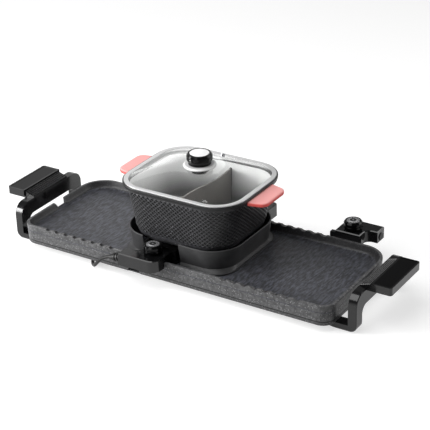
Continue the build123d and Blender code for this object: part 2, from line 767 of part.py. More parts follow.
for side in ("front", "back"):
    origin = unit_origin[side]
    arm_end = -unit_width / 2 - arm_length[side]
    floor_step = step_z if side == "front" else unit_z
    outlet_place = origin.from_local_coords(Vector(arm_end, arm_depth / 2 - unit_depth, outlet_z))
    outlet_plane = Plane(outlet_place, z_dir=origin.x_dir)
    probe_plane = Plane(origin.from_local_coords(Vector(0, 0, probe_z[side])), z_dir=origin.y_dir)
    boss_places = (
        (arm_end + unit_boss_inset, arm_depth / 2 - unit_depth + arm_boss_shift),
        (unit_boss_inset - unit_width / 2, block_boss_inset - unit_depth),
        (unit_width / 2 - corner_boss_inset, corner_boss_inset - unit_depth),
    )

    with BuildPart() as control_base:
        with BuildSketch(origin.offset(unit_z)):
            unit_outline(side, 0)
        extrude(amount=unit_split_z - unit_z)
        with BuildSketch(origin.offset(unit_z + unit_wall)):
            unit_outline(side, unit_wall)
            if step_y[side] > 0:
                Rectangle(
                    2 * unit_width, step_y[side] + unit_wall,
                    align=(Align.CENTER, Align.MAX), mode=Mode.SUBTRACT,
                )
        extrude(amount=unit_split_z - unit_z - unit_wall, mode=Mode.SUBTRACT)
        if step_y[side] > 0:
            with BuildSketch(origin.offset(unit_z)):
                Rectangle(2 * unit_width, step_y[side], align=(Align.CENTER, Align.MAX))
            extrude(amount=floor_step - unit_z, mode=Mode.SUBTRACT)
            with BuildSketch(origin.offset(floor_step + unit_wall)):
                unit_outline(side, unit_wall)
            extrude(amount=unit_split_z - floor_step - unit_wall, mode=Mode.SUBTRACT)
        with BuildSketch(origin.offset(unit_z)):
            with Locations(*boss_places):
                Circle(unit_screw_radius)
        extrude(amount=unit_wall, mode=Mode.SUBTRACT)
        # outlet for the lead in the arm's end, and hole for the probe in the inner face
        with BuildSketch(outlet_plane):
            Circle(outlet_radius)
        extrude(amount=unit_wall, mode=Mode.SUBTRACT)
        with BuildSketch(probe_plane):
            Circle(probe_radius)
        extrude(amount=-unit_wall, mode=Mode.SUBTRACT)
    control_base.part.label = f"{side}_control_base"
    export_step(control_base.part, f"parts/{side}_control_base.step")

    with BuildPart() as control_cover:
        with BuildSketch(origin.offset(unit_split_z)):
            unit_outline(side, 0)
        extrude(amount=cover_height)
        chamfer(faces().sort_by(Axis.Z)[-1].edges(), length=unit_edge)
        with BuildSketch(origin.offset(unit_split_z)):
            unit_outline(side, unit_wall)
        extrude(amount=cover_height - unit_wall, mode=Mode.SUBTRACT)
        # screw bosses reach down to the base's floor
        with BuildSketch(origin.offset(unit_z + unit_wall)):
            with Locations(*boss_places):
                Circle(unit_boss_radius)
        extrude(amount=unit_top_z - unit_z - 2 * unit_wall)
        with BuildSketch(origin.offset(unit_z + unit_wall)):
            with Locations(*boss_places):
                Circle(unit_screw_radius)
        extrude(amount=unit_screw_depth, mode=Mode.SUBTRACT)
        with BuildSketch(origin.offset(unit_top_z - unit_wall)):
            with Locations((knob_x, -knob_y)):
                Circle(shaft_radius + slip_gap)
        extrude(amount=unit_wall, mode=Mode.SUBTRACT)
        with BuildSketch(outlet_plane):
            Circle(outlet_radius)
        extrude(amount=unit_wall, mode=Mode.SUBTRACT)
        with BuildSketch(probe_plane):
            Circle(probe_radius)
        extrude(amount=-unit_wall, mode=Mode.SUBTRACT)
    control_cover.part.label = f"{side}_control_cover"
    export_step(control_cover.part, f"parts/{side}_control_cover.step")

    with BuildPart() as control_screws:
        with BuildSketch(origin.offset(unit_z - unit_screw_head_height)):
            with Locations(*boss_places):
                Circle(unit_screw_head)
        extrude(amount=unit_screw_head_height)
        with BuildSketch(origin.offset(unit_z)):
            with Locations(*boss_places):
                Circle(unit_screw_radius)
        extrude(amount=unit_wall + unit_screw_depth - screw_tip_gap)
    control_screws.part.label = f"{side}_control_screws"
    export_step(control_screws.part, f"parts/{side}_control_screws.step")

    thermostat_z = floor_step + unit_wall
    thermostat_top_z = unit_top_z - unit_wall - seat_gap
    with BuildPart() as thermostat:
        with BuildSketch(origin.offset(thermostat_z)):
            with Locations((knob_x, -knob_y)):
                Rectangle(thermostat_width, thermostat_depth)
        extrude(amount=thermostat_top_z - thermostat_z)
        with BuildSketch(origin.offset(thermostat_top_z - shaft_in_thermostat)):
            with Locations((knob_x, -knob_y)):
                Circle(shaft_radius + turn_gap)
        extrude(amount=shaft_in_thermostat, mode=Mode.SUBTRACT)
    thermostat.part.label = f"{side}_thermostat"
    export_step(thermostat.part, f"parts/{side}_thermostat.step")

    reach = probe_reach if side == "front" else socket_wall + sensor_reach
    inside = knob_y - thermostat_depth / 2
    tip_edge = -1 if side == "front" else 0
    with BuildPart() as sensor_probe:
        with BuildSketch(probe_plane.offset(-inside)):
            Circle(probe_radius)
        extrude(amount=inside + reach)
        fillet(edges().filter_by(GeomType.CIRCLE).sort_by(Axis.Y)[tip_edge], radius=probe_tip)
    sensor_probe.part.label = f"{side}_sensor_probe"
    export_step(sensor_probe.part, f"parts/{side}_sensor_probe.step")

    # ------------------------------------------------------------ knob, dial plate and shaft
    knob_origin = Plane(
        origin.from_local_coords(Vector(knob_x, -knob_y, unit_top_z + knob_gap)),
        x_dir=(1, 0, 0), z_dir=(0, -1, 0),
    )
    knob_axis = Axis(knob_origin.origin, (0, 0, 1))
    rise = knob_height - knob_gap
    skirt_z = knob_neck_height + knob_underside
    groove_top_z = knob_groove_z + knob_bevel + knob_groove_width
    dial_z = rise - dial_recess
    dial_top_z = dial_z + dial_thickness
    shaft_bottom = thermostat_top_z - shaft_in_thermostat + seat_gap - knob_origin.origin.Z
    with BuildPart() as knob:
        with BuildSketch(knob_origin):
            with BuildLine():
                Polyline(
                    (shaft_radius, 0), (knob_neck_radius, 0), (knob_neck_radius, knob_neck_height),
                    (knob_radius - knob_bevel, skirt_z), (knob_radius, skirt_z + knob_bevel),
                    (knob_radius, knob_groove_z), (knob_groove_radius, knob_groove_z + knob_bevel),
                    (knob_groove_radius, groove_top_z), (knob_radius, groove_top_z + knob_bevel),
                    (knob_radius, rise - knob_shoulder), (knob_top_radius, rise), (dial_radius, rise),
                    (dial_radius, dial_z), (0, dial_z), (0, shaft_in_knob),
                    (shaft_radius, shaft_in_knob), close=True,
                )
            make_face()
        revolve(axis=knob_axis)
    knob.part.label = f"{side}_knob"
    export_step(knob.part, f"parts/{side}_knob.step")

    with BuildPart() as dial_plate:
        with BuildSketch(knob_origin):
            with BuildLine():
                Polyline(
                    (0, dial_z), (dial_radius, dial_z), (dial_radius, dial_top_z - dial_bevel),
                    (dial_radius - dial_bevel, dial_top_z), (dial_boss_radius + dial_boss_rise, dial_top_z),
                    (dial_boss_radius, dial_top_z + dial_boss_rise), (0, dial_top_z + dial_boss_rise),
                    close=True,
                )
            make_face()
        revolve(axis=knob_axis)
    dial_plate.part.label = f"{side}_dial_plate"
    export_step(dial_plate.part, f"parts/{side}_dial_plate.step")

    with BuildPart() as knob_shaft:
        with BuildSketch(Plane(knob_origin.origin + Vector(0, 0, shaft_bottom))):
            Circle(shaft_radius)
        extrude(amount=shaft_in_knob - shaft_bottom)
    knob_shaft.part.label = f"{side}_knob_shaft"
    export_step(knob_shaft.part, f"parts/{side}_knob_shaft.step")

back_outlet = unit_origin["back"].from_local_coords(
    Vector(-unit_width / 2 - back_arm, arm_depth / 2 - unit_depth, outlet_z)
)
with BuildPart() as back_grommet:
    # blank grommet in the back unit's unused cord outlet
    with BuildSketch(Plane(back_outlet, z_dir=(1, 0, 0))):
        Circle(outlet_radius + grommet_flange)
    extrude(amount=grommet_flange)
    with BuildSketch(Plane(back_outlet, z_dir=(-1, 0, 0))):
        Circle(outlet_radius)
    extrude(amount=unit_wall + grommet_flange)
    fillet(edges().filter_by(GeomType.CIRCLE).sort_by(Axis.X)[-1], radius=grommet_fillet)
back_grommet.part.label = "back_grommet"
export_step(back_grommet.part, "parts/back_grommet.step")

# ================================================================ handles, which are also the feet
post_y = frame_half_width - frame_post / 2
pad_x = frame_inner_x + pad_offset
foot_z = pad_proud
with BuildPart() as right_handle_frame:
    with BuildSketch(facing_right(frame_inner_x)):
        with Locations((0, foot_z)):
            Rectangle(2 * frame_half_width, frame_height - foot_z, align=(Align.CENTER, Align.MIN))
        fillet(vertices().group_by(Axis.Y)[-1], radius=frame_corner)
        with BuildSketch(mode=Mode.PRIVATE) as opening:
            with Locations((0, foot_z)):
                Rectangle(
                    2 * (frame_half_width - frame_post), frame_height - frame_bar - foot_z,
                    align=(Align.CENTER, Align.MIN),
                )
            fillet(vertices().group_by(Axis.Y)[-1], radius=frame_opening_corner)
        add(opening.sketch, mode=Mode.SUBTRACT)
    extrude(amount=frame_thickness)
    # a foot runs in under the pan from each post
    for side in (-1, 1):
        with BuildSketch(facing_front(side * post_y)):
            with BuildLine():
                Polyline(
                    (frame_inner_x - foot_toe, foot_z + toe_rise), (frame_inner_x - foot_toe / 2, foot_z),
                    (frame_inner_x, foot_z), (frame_inner_x, pan_z), (frame_inner_x - foot_toe, pan_z),
                    close=True,
                )
            make_face()
        extrude(amount=frame_post / 2, both=True)
    heel = edges().filter_by(Axis.Y).filter_by_position(Axis.Z, foot_z, foot_z)
    fillet(heel.group_by(Axis.X)[-1], radius=foot_heel)
    fillet(edges().filter_by_position(Axis.X, frame_outer_x, frame_outer_x).filter_by(
        lambda edge: edge.center().Z > foot_z + foot_heel + 1), radius=frame_edge)
    # recesses for the rubber pads, holes for the base screws
    with BuildSketch(level(foot_z)):
        with Locations(*[(pad_x, side * post_y) for side in (-1, 1)]):
            Circle(pad_radius)
    extrude(amount=pad_thickness - pad_proud, mode=Mode.SUBTRACT)
    right_screws = [(x, y) for x, y in frame_screw_places if x > 0]
    with BuildSketch(level(0)):
        with Locations(*right_screws):
            Circle(screw_head_radius + slip_gap / 2)
    extrude(amount=foot_seat_z, mode=Mode.SUBTRACT)
    with BuildSketch(level(0)):
        with Locations(*right_screws):
            Circle(screw_radius)
    extrude(amount=pan_z, mode=Mode.SUBTRACT)
    # deep holes for the grip's screws, up through the bar
    grip_screw_x = frame_inner_x + grip_screw_inset
    grip_screw_places = [(grip_screw_x, side * grip_screw_y) for side in (-1, 1)]
    with BuildSketch(level(frame_height - frame_bar)):
        with Locations(*grip_screw_places):
            Circle(screw_head_radius + slip_gap / 2)
    extrude(amount=grip_screw_sink, mode=Mode.SUBTRACT)
    with BuildSketch(level(frame_height - frame_bar)):
        with Locations(*grip_screw_places):
            Circle(screw_radius)
    extrude(amount=frame_bar, mode=Mode.SUBTRACT)
right_handle_frame.part.label = "right_handle_frame"
export_step(right_handle_frame.part, "parts/right_handle_frame.step")

grip_inner_x = frame_outer_x + grip_gap_x
grip_outer_x = grip_inner_x + grip_depth
with BuildPart() as right_handle_grip:
    # box-shaped grip, and the sloping strip that lies on the frame's bar
    with BuildSketch(facing_front(0)):
        with BuildLine():
            Polyline(
                (frame_outer_x, grip_bottom), (grip_outer_x, grip_bottom), (grip_outer_x, grip_top),
                (grip_inner_x, grip_top), (grip_inner_x, frame_height), (frame_outer_x, frame_height),
                close=True,
            )
        make_face()
    extrude(amount=grip_length / 2, both=True)
    fillet(edges().filter_by(Axis.Z).group_by(Axis.X)[-1], radius=grip_corner)
    with BuildSketch(facing_front(0)):
        with BuildLine():
            Polyline(
                (frame_inner_x + strip_inset, frame_height), (grip_inner_x, frame_height),
                (grip_inner_x, frame_height + strip_high),
                (frame_inner_x + strip_inset, frame_height + strip_low),
                close=True,
            )
        make_face()
    extrude(amount=strip_length / 2, both=True)
    with BuildSketch(level(grip_top)):
        with Locations(((grip_inner_x + grip_outer_x) / 2, 0)):
            RectangleRounded(grip_depth - 2 * grip_rim, grip_length - 2 * grip_rim, grip_corner - grip_rim)
    extrude(amount=-grip_recess, mode=Mode.SUBTRACT)
    with BuildSketch(level(grip_bottom)):
        with Locations(((grip_inner_x + grip_outer_x) / 2, 0)):
            RectangleRounded(grip_depth - 2 * grip_wall, grip_length - 2 * grip_wall, grip_corner - grip_wall)
    extrude(amount=grip_top - grip_recess - grip_wall - grip_bottom, mode=Mode.SUBTRACT)
    with BuildSketch(level(frame_height)):
        with Locations(*grip_screw_places):
            Circle(screw_radius)
    extrude(amount=grip_screw_depth, mode=Mode.SUBTRACT)
right_handle_grip.part.label = "right_handle_grip"
export_step(right_handle_grip.part, "parts/right_handle_grip.step")

with BuildPart() as right_grip_inlay:
    with BuildSketch(level(grip_top - grip_recess)):
        with Locations(((grip_inner_x + grip_outer_x) / 2, 0)):
            RectangleRounded(grip_depth - 2 * grip_rim, grip_length - 2 * grip_rim, grip_corner - grip_rim)
    extrude(amount=inlay_thickness)
right_grip_inlay.part.label = "right_grip_inlay"
export_step(right_grip_inlay.part, "parts/right_grip_inlay.step")

with BuildPart() as right_handle_screws:
    head_z = frame_height - frame_bar + grip_screw_sink
    with BuildSketch(level(head_z - screw_head_height)):
        with Locations(*grip_screw_places):
            Circle(screw_head_radius)
    extrude(amount=screw_head_height)
    with BuildSketch(level(head_z)):
        with Locations(*grip_screw_places):
            Circle(screw_radius)
    extrude(amount=frame_height - head_z + grip_screw_depth - seat_gap)
right_handle_screws.part.label = "right_handle_screws"
export_step(right_handle_screws.part, "parts/right_handle_screws.step")

for name, twin in (
    ("left_handle_frame", right_handle_frame), ("left_handle_grip", right_handle_grip),
    ("left_grip_inlay", right_grip_inlay), ("left_handle_screws", right_handle_screws),
):
    with BuildPart() as left_twin:
        mirror(twin.part, about=Plane.YZ)
    left_twin.part.label = name
    export_step(left_twin.part, f"parts/{name}.step")

with BuildPart() as foot_pads:
    with BuildSketch(level(0)):
        with Locations(*four(pad_x, post_y)):
            Circle(pad_radius)
    extrude(amount=pad_thickness)
foot_pads.part.label = "foot_pads"
export_step(foot_pads.part, "parts/foot_pads.step")

# ================================================================ pot
lip_length = pot_top_length + 2 * lip_overhang
lip_width = pot_top_width + 2 * lip_overhang
lip_corner = pot_top_corner + lip_overhang - lip_corner_trim
with BuildPart() as pot_form:
    for height, length, width, corner in (
        (0, pot_base_length, pot_base_width, pot_base_corner),
        (pot_height, pot_top_length, pot_top_width, pot_top_corner),
    ):
        with BuildSketch(level(pot_z + height)):
            RectangleRounded(length, width, corner)
    loft(ruled=True)
    fillet(faces().sort_by(Axis.Z)[0].edges(), radius=pot_edge)

with BuildPart() as pot_hollow:
    for height, length, width, corner in (
        (pot_floor, pot_base_length, pot_base_width, pot_base_corner),
        (pot_height, pot_top_length, pot_top_width, pot_top_corner),
    ):
        with BuildSketch(level(pot_z + height)):
            RectangleRounded(length - 2 * pot_wall, width - 2 * pot_wall, corner - pot_wall)
    loft(ruled=True)
    fillet(faces().sort_by(Axis.Z)[0].edges(), radius=pot_edge - pot_wall)

with BuildPart() as divider_wall:
    # S-shaped in plan, and cut to the pot's form at its ends
    end_y = pot_top_width / 2
    with BuildSketch(level(pot_z + pot_floor / 2)):
        with BuildLine():
            for x in (divider_x - divider_thickness / 2, divider_x + divider_thickness / 2):
                ThreePointArc((x, -end_y), (x - divider_bow, -end_y / 2), (x, 0))
                ThreePointArc((x, 0), (x + divider_bow, end_y / 2), (x, end_y))
            for y in (-end_y, end_y):
                Line((divider_x - divider_thickness / 2, y), (divider_x + divider_thickness / 2, y))
        make_face()
    extrude(amount=divider_height - pot_floor / 2)
    add(pot_form.part, mode=Mode.INTERSECT)

ear_z = pot_rim_z - tongue_below_lip - tongue_thickness
with BuildPart() as pot_shell:
    add(pot_form.part)
    with BuildSketch(level(pot_rim_z - lip_height)):
        RectangleRounded(lip_length, lip_width, lip_corner)
    extrude(amount=lip_height)
    fillet(edges().filter_by_position(Axis.Z, pot_rim_z, pot_rim_z), radius=lip_fillet)
    with BuildSketch(level(ear_z)):
        Rectangle(lip_length + 2 * tongue_reach, 2 * tongue_half_width)
    extrude(amount=tongue_thickness)
    ear_corners = edges().filter_by(Axis.Z).filter_by(lambda edge: abs(edge.center().X) > lip_length / 2 + 1)
    fillet(ear_corners, radius=tongue_corner)
    add(pot_hollow.part, mode=Mode.SUBTRACT)
    add(divider_wall.part)
pot_shell.part.label = "pot_shell"
export_step(pot_shell.part, "parts/pot_shell.step")

sleeve_z = ear_z + tongue_thickness / 2 - sleeve_thickness / 2
for side, name in ((-1, "left_ear_sleeve"), (1, "right_ear_sleeve")):
    root_x = side * (lip_length / 2 + seat_gap)
    tip_x = side * (lip_length / 2 + sleeve_reach)
    with BuildPart() as ear_sleeve:
        with BuildSketch(level(sleeve_z)):
            with BuildLine():
                Polyline(
                    (root_x, -sleeve_root / 2), (tip_x, -sleeve_tip / 2), (tip_x, sleeve_tip / 2),
                    (root_x, sleeve_root / 2), close=True,
                )
            make_face()
            fillet(vertices().filter_by(lambda point: abs(point.X - tip_x) < 1), radius=sleeve_corner)
        extrude(amount=sleeve_thickness)
        shoulder = edges().group_by(Axis.Z)[0] + edges().group_by(Axis.Z)[-1]
        fillet(shoulder.filter_by(lambda edge: abs(edge.center().X - root_x) > 1), radius=sleeve_edge)
        add(pot_shell.part, mode=Mode.SUBTRACT)
    ear_sleeve.part.label = name
    export_step(ear_sleeve.part, f"parts/{name}.step")

# ================================================================ lid
lid_length = lip_length - 2 * lid_inset
lid_width = lip_width - 2 * lid_inset
lid_corner = lip_corner - lid_inset


def glass_sections(drop):
    """Height, length, width and corner of the domed glass from edge to crown, lowered by drop."""
    edge_length = lid_length - 2 * lid_flange
    edge_width = lid_width - 2 * lid_flange
    edge_corner = lid_corner - lid_flange
    sections = []
    for share, rise in dome_profile:
        sections.append((
            lid_top_z - drop + rise * dome_height,
            edge_length + share * (crown_length - edge_length),
            edge_width + share * (crown_width - edge_width),
            edge_corner + share * (crown_corner - edge_corner),
        ))
    return sections


vent_plane = Plane(
    (0, centre_y + vent_y, lid_top_z + vent_rise), x_dir=(1, 0, 0), z_dir=(0, tan(radians(vent_tilt)), 1),
)


def lid_outline(inset):
    """The lid's outline, inset from the steel band's outer edge."""
    RectangleRounded(lid_length - 2 * inset, lid_width - 2 * inset, lid_corner - inset)


with BuildPart() as lid_glass:
    for height, length, width, corner in glass_sections(0):
        with BuildSketch(level(height)):
            RectangleRounded(length, width, corner)
    loft()
    with BuildSketch(level(lid_z + lid_sheet)):
        lid_outline(lid_flange)
    extrude(amount=glass_thickness + lid_sheet)
    # flat edge that the steel band grips
    with BuildSketch(level(lid_z + lid_sheet)):
        lid_outline(lid_sheet)
    extrude(amount=glass_thickness)
    with BuildSketch(level(lid_z + lid_sheet)):
        lid_outline(lid_flange)
    extrude(amount=lid_sheet, mode=Mode.SUBTRACT)
    for height, length, width, corner in glass_sections(glass_thickness):
        with BuildSketch(level(height)):
            RectangleRounded(length, width, corner)
    loft(mode=Mode.SUBTRACT)
    with BuildSketch(level(glass_crown_z - 2 * glass_thickness)):
        Circle(lid_screw_radius + slip_gap)
    extrude(amount=3 * glass_thickness, mode=Mode.SUBTRACT)
    with BuildSketch(vent_plane):
        Circle(vent_radius)
    extrude(amount=2 * vent_length, both=True, mode=Mode.SUBTRACT)
lid_glass.part.label = "lid_glass"
export_step(lid_glass.part, "parts/lid_glass.step")

with BuildPart() as lid_rim:
    # steel band folded over the edge of the glass
    with BuildSketch(level(lid_z)):
        lid_outline(0)
    extrude(amount=lid_top_z - lid_z)
    fillet(edges(), radius=band_fillet)
    with BuildSketch(level(lid_z)):
        lid_outline(lid_flange)
    extrude(amount=lid_top_z - lid_z, mode=Mode.SUBTRACT)
    with BuildSketch(level(lid_z + lid_sheet)):
        lid_outline(lid_sheet)
    extrude(amount=glass_thickness, mode=Mode.SUBTRACT)
lid_rim.part.label = "lid_rim"
export_step(lid_rim.part, "parts/lid_rim.step")

with BuildPart() as vent_eyelet:
    with BuildSketch(vent_plane):
        Circle(vent_radius)
        Circle(vent_hole, mode=Mode.SUBTRACT)
    extrude(amount=vent_length / 2, both=True)
vent_eyelet.part.label = "vent_eyelet"
export_step(vent_eyelet.part, "parts/vent_eyelet.step")

# Pieces stacked on the lid's axis, drawn as half sections from the crown of the glass.
crown = Plane((0, centre_y, glass_crown_z), x_dir=(1, 0, 0), z_dir=(0, -1, 0))
lid_axis = Axis((0, centre_y, 0), (0, 0, 1))
knob_foot = knob_base_height
knob_head = knob_foot + lid_knob_height
neck_z = knob_foot + lid_neck_height
with BuildPart() as lid_knob_base:
    with BuildSketch(crown):
        with BuildLine():
            Polyline(
                (lid_screw_radius, 0), (knob_base_radius, 0), (knob_base_radius, knob_base_edge),
                (knob_base_radius - knob_base_slope, knob_foot), (lid_screw_radius, knob_foot), close=True,
            )
        make_face()
    revolve(axis=lid_axis)
lid_knob_base.part.label = "lid_knob_base"
export_step(lid_knob_base.part, "parts/lid_knob_base.step")

with BuildPart() as lid_knob:
    with BuildSketch(crown):
        with BuildLine():
            Polyline(
                (lid_screw_radius, knob_foot), (lid_neck_radius, knob_foot), (lid_neck_radius, neck_z),
                (lid_knob_radius, neck_z + lid_flare_height),
                (lid_knob_radius, knob_head - lid_shoulder_height),
                (lid_knob_radius - lid_shoulder_width, knob_head), (cap_radius, knob_head),
                (cap_radius, knob_head - cap_recess),
                (0, knob_head - cap_recess), (0, knob_foot + lid_screw_grip),
                (lid_screw_radius, knob_foot + lid_screw_grip), close=True,
            )
        make_face()
    revolve(axis=lid_axis)
    outer_edges = edges().filter_by(GeomType.CIRCLE).filter_by(
        lambda edge: edge.radius > (cap_radius + lid_neck_radius) / 2
    )
    fillet(outer_edges, radius=lid_knob_fillet)
lid_knob.part.label = "lid_knob"
export_step(lid_knob.part, "parts/lid_knob.step")

with BuildPart() as lid_knob_cap:
    cap_z = knob_head - cap_recess
    with BuildSketch(crown):
        with BuildLine():
            Line((0, cap_z), (cap_radius, cap_z))
            Line((cap_radius, cap_z), (cap_radius, cap_z + cap_recess))
            TangentArc((0, cap_z + cap_thickness), (cap_radius, cap_z + cap_recess), tangent=(1, 0))
            Line((0, cap_z + cap_thickness), (0, cap_z))
        make_face()
    revolve(axis=lid_axis)
lid_knob_cap.part.label = "lid_knob_cap"
export_step(lid_knob_cap.part, "parts/lid_knob_cap.step")

under_z = -glass_thickness
with BuildPart() as lid_knob_boss:
    with BuildSketch(crown):
        with BuildLine():
            Polyline(
                (lid_screw_radius, under_z), (boss_under_radius, under_z),
                (boss_under_radius, under_z - boss_under_height + boss_under_bevel),
                (boss_under_radius - boss_under_bevel, under_z - boss_under_height),
                (lid_screw_radius, under_z - boss_under_height), close=True,
            )
        make_face()
    revolve(axis=lid_axis)
lid_knob_boss.part.label = "lid_knob_boss"
export_step(lid_knob_boss.part, "parts/lid_knob_boss.step")

with BuildPart() as lid_knob_screw:
    head_top = under_z - boss_under_height
    head_bottom = head_top - lid_screw_head_height
    with BuildSketch(crown):
        with BuildLine():
            Polyline(
                (0, head_bottom), (lid_screw_head - lid_screw_head_bevel, head_bottom),
                (lid_screw_head, head_bottom + lid_screw_head_bevel),
                (lid_screw_head, head_top), (lid_screw_radius, head_top),
                (lid_screw_radius, knob_foot + lid_screw_grip), (0, knob_foot + lid_screw_grip), close=True,
            )
        make_face()
    revolve(axis=lid_axis)
lid_knob_screw.part.label = "lid_knob_screw"
export_step(lid_knob_screw.part, "parts/lid_knob_screw.step")

# ================================================================ mains lead
relief_x = front_unit_x - unit_width / 2 - front_arm     # the arm's end face
relief_y = arm_depth / 2 - front_inner - unit_depth
relief_run = Vector(-1, 0, -tan(radians(relief_tilt))).normalized()
relief_start = Vector(relief_x, relief_y, outlet_z)
relief_end = relief_start + relief_run * relief_length
relief_profile = [(-relief_inset, 0), (-relief_inset, relief_root_radius)]
for number in range(relief_ribs):
    rib_start = number * (relief_rib + relief_slot)
    rib_end = rib_start + relief_rib
    relief_profile += [
        (rib_start, relief_root_radius - relief_taper * rib_start),
        (rib_end, relief_root_radius - relief_taper * rib_end),
        (rib_end, outlet_radius), (rib_end + relief_slot, outlet_radius),
    ]
relief_profile += [(relief_length, relief_tip_radius), (relief_length, 0)]
with BuildPart() as strain_relief:
    # ribbed sleeve that leans down, in half section along its own axis
    lean = Plane(level(0).from_local_coords(relief_start), x_dir=relief_run, z_dir=(0, -1, 0))
    with BuildSketch(lean):
        with BuildLine():
            Polyline(relief_profile, close=True)
        make_face()
    revolve(axis=Axis(lean.origin, lean.x_dir))
    with BuildSketch(Plane(lean.origin, z_dir=(1, 0, 0))):
        Circle(3 * relief_root_radius)
    extrude(amount=2 * relief_root_radius, mode=Mode.SUBTRACT)
    with BuildSketch(Plane(lean.origin, z_dir=(1, 0, 0))):
        Circle(outlet_radius)
    extrude(amount=unit_wall + relief_flange)
    with BuildSketch(Plane(lean.origin + Vector(unit_wall, 0, 0), z_dir=(1, 0, 0))):
        Circle(outlet_radius + relief_catch)
    extrude(amount=relief_flange)
strain_relief.part.label = "strain_relief"
export_step(strain_relief.part, "parts/strain_relief.step")

lie_z = cord_radius + lie_gap      # middle of the lead where it lies on the table
lead_route = [
    tuple(relief_end), tuple(relief_end + relief_run * lead_out), *lead_corners,
    *[(x, y, lie_z) for x, y in lead_on_table],
    (coil_x - coil_mid_radius, coil_y - lead_into_coil, lie_z),
]
plug_z = plug_height / 2
high_z = (2 * coil_turn_rows - 1) * cord_radius     # middle of the coil's upper turns
tail_x = coil_x + coil_mid_radius + cord_radius
first_bend, second_bend, plug_place = [(coil_x + x, coil_y + y) for x, y in tail_bends]
tail_route = [
    (tail_x, coil_y + tail_start, high_z), (tail_x, coil_y + tail_turn, high_z),
    (*first_bend, high_z - tail_sag), (*second_bend, plug_z), (*plug_place, plug_z),
]


def corner_radii(route):
    """As large an arc at each corner as its two runs allow."""
    radii = []
    for before, corner, after in zip(route, route[1:], route[2:]):
        arrive = Vector(*corner) - Vector(*before)
        leave = Vector(*after) - Vector(*corner)
        half_turn = radians(arrive.get_angle(leave) / 2)
        radii.append(0.45 * min(arrive.length, leave.length) / tan(half_turn))
    return radii


for name, route in (("cord_lead", lead_route), ("cord_tail", tail_route)):
    radii = corner_radii(route)
    with BuildPart() as cord:
        with BuildLine(level(0)) as cord_path:
            FilletPolyline(*route, radius=radii)
        with BuildSketch(Plane(cord_path.line @ 0, z_dir=cord_path.line % 0)) as cord_section:
            Circle(cord_radius)
        sweep()
    cord.part.label = name
    export_step(cord.part, f"parts/{name}.step")
    run = cord_path.wires()[0].length
    print(name, "length", round(run, 1), "radii", [round(r, 1) for r in radii])
    print(name, "volume over section times length",
          round(cord.part.volume / (cord_section.sketch.area * run), 4))

with BuildPart() as cord_coil:
    with BuildSketch(level(0)):
        with Locations((coil_x, coil_y)):
            Circle(coil_mid_radius + 2 * cord_radius)
            Circle(coil_mid_radius - 2 * cord_radius, mode=Mode.SUBTRACT)
    extrude(amount=coil_turn_rows * 2 * cord_radius)
    fillet(edges(), radius=0.8 * cord_radius)
cord_coil.part.label = "cord_coil"
export_step(cord_coil.part, "parts/cord_coil.step")

plug_start = tail_route[-1]
plug_plane = Plane(level(0).from_local_coords(Vector(*plug_start)), x_dir=(0, 1, 0), z_dir=(1, 0, 0))
with BuildPart() as mains_plug:
    with BuildSketch(plug_plane):
        Circle(relief_tip_radius)
    with BuildSketch(plug_plane.offset(plug_neck)):
        Circle(relief_tip_radius + plug_neck_flare)
    loft()
    with BuildSketch(plug_plane.offset(plug_neck)):
        RectangleRounded(plug_width, plug_height, (plug_height - plug_flat) / 2)
    extrude(amount=plug_length)
    fillet(faces().sort_by(Axis.X)[-1].edges(), radius=plug_fillet)
mains_plug.part.label = "mains_plug"
export_step(mains_plug.part, "parts/mains_plug.step")

with BuildPart() as plug_pins:
    with BuildSketch(plug_plane.offset(plug_neck + plug_length)):
        with Locations((-pin_spacing / 2, 0), (pin_spacing / 2, 0)):
            Circle(pin_radius)
    extrude(amount=pin_length)
    fillet(faces().filter_by(Plane.YZ).group_by(Axis.X)[-1].edges(), radius=pin_fillet)
plug_pins.part.label = "plug_pins"
export_step(plug_pins.part, "parts/plug_pins.step")
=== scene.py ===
"""Electric hot pot with a glass lid on a long two-sided grill tray: finishes, moulded detail, lead and studio.

All sizes in the lists below are millimetres measured from the middle of the pot; place() turns them into the
frame's metres. The camera and the studio are given in metres.
"""
import math

import bmesh
import bpy
from mathutils import Matrix, Vector


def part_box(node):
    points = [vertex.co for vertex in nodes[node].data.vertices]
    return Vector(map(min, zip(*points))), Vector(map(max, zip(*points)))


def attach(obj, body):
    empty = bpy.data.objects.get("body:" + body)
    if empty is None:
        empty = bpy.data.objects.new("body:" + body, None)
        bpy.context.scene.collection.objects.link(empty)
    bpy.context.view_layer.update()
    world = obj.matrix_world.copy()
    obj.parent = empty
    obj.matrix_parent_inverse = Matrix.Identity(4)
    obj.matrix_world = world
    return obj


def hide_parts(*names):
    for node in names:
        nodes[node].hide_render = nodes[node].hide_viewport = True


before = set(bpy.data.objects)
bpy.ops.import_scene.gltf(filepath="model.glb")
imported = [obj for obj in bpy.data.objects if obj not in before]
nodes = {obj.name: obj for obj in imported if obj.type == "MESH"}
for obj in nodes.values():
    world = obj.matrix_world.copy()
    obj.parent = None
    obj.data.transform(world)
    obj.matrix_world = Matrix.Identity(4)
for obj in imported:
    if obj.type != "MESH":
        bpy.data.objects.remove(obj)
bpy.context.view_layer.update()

MM = 0.001
POT_Y = -12.75                    # the pot stands this far in front of the origin


def place(x, y, z):
    """A point in millimetres from the pot's middle, in the frame's metres."""
    return Vector((x, y + POT_Y, z)) * MM


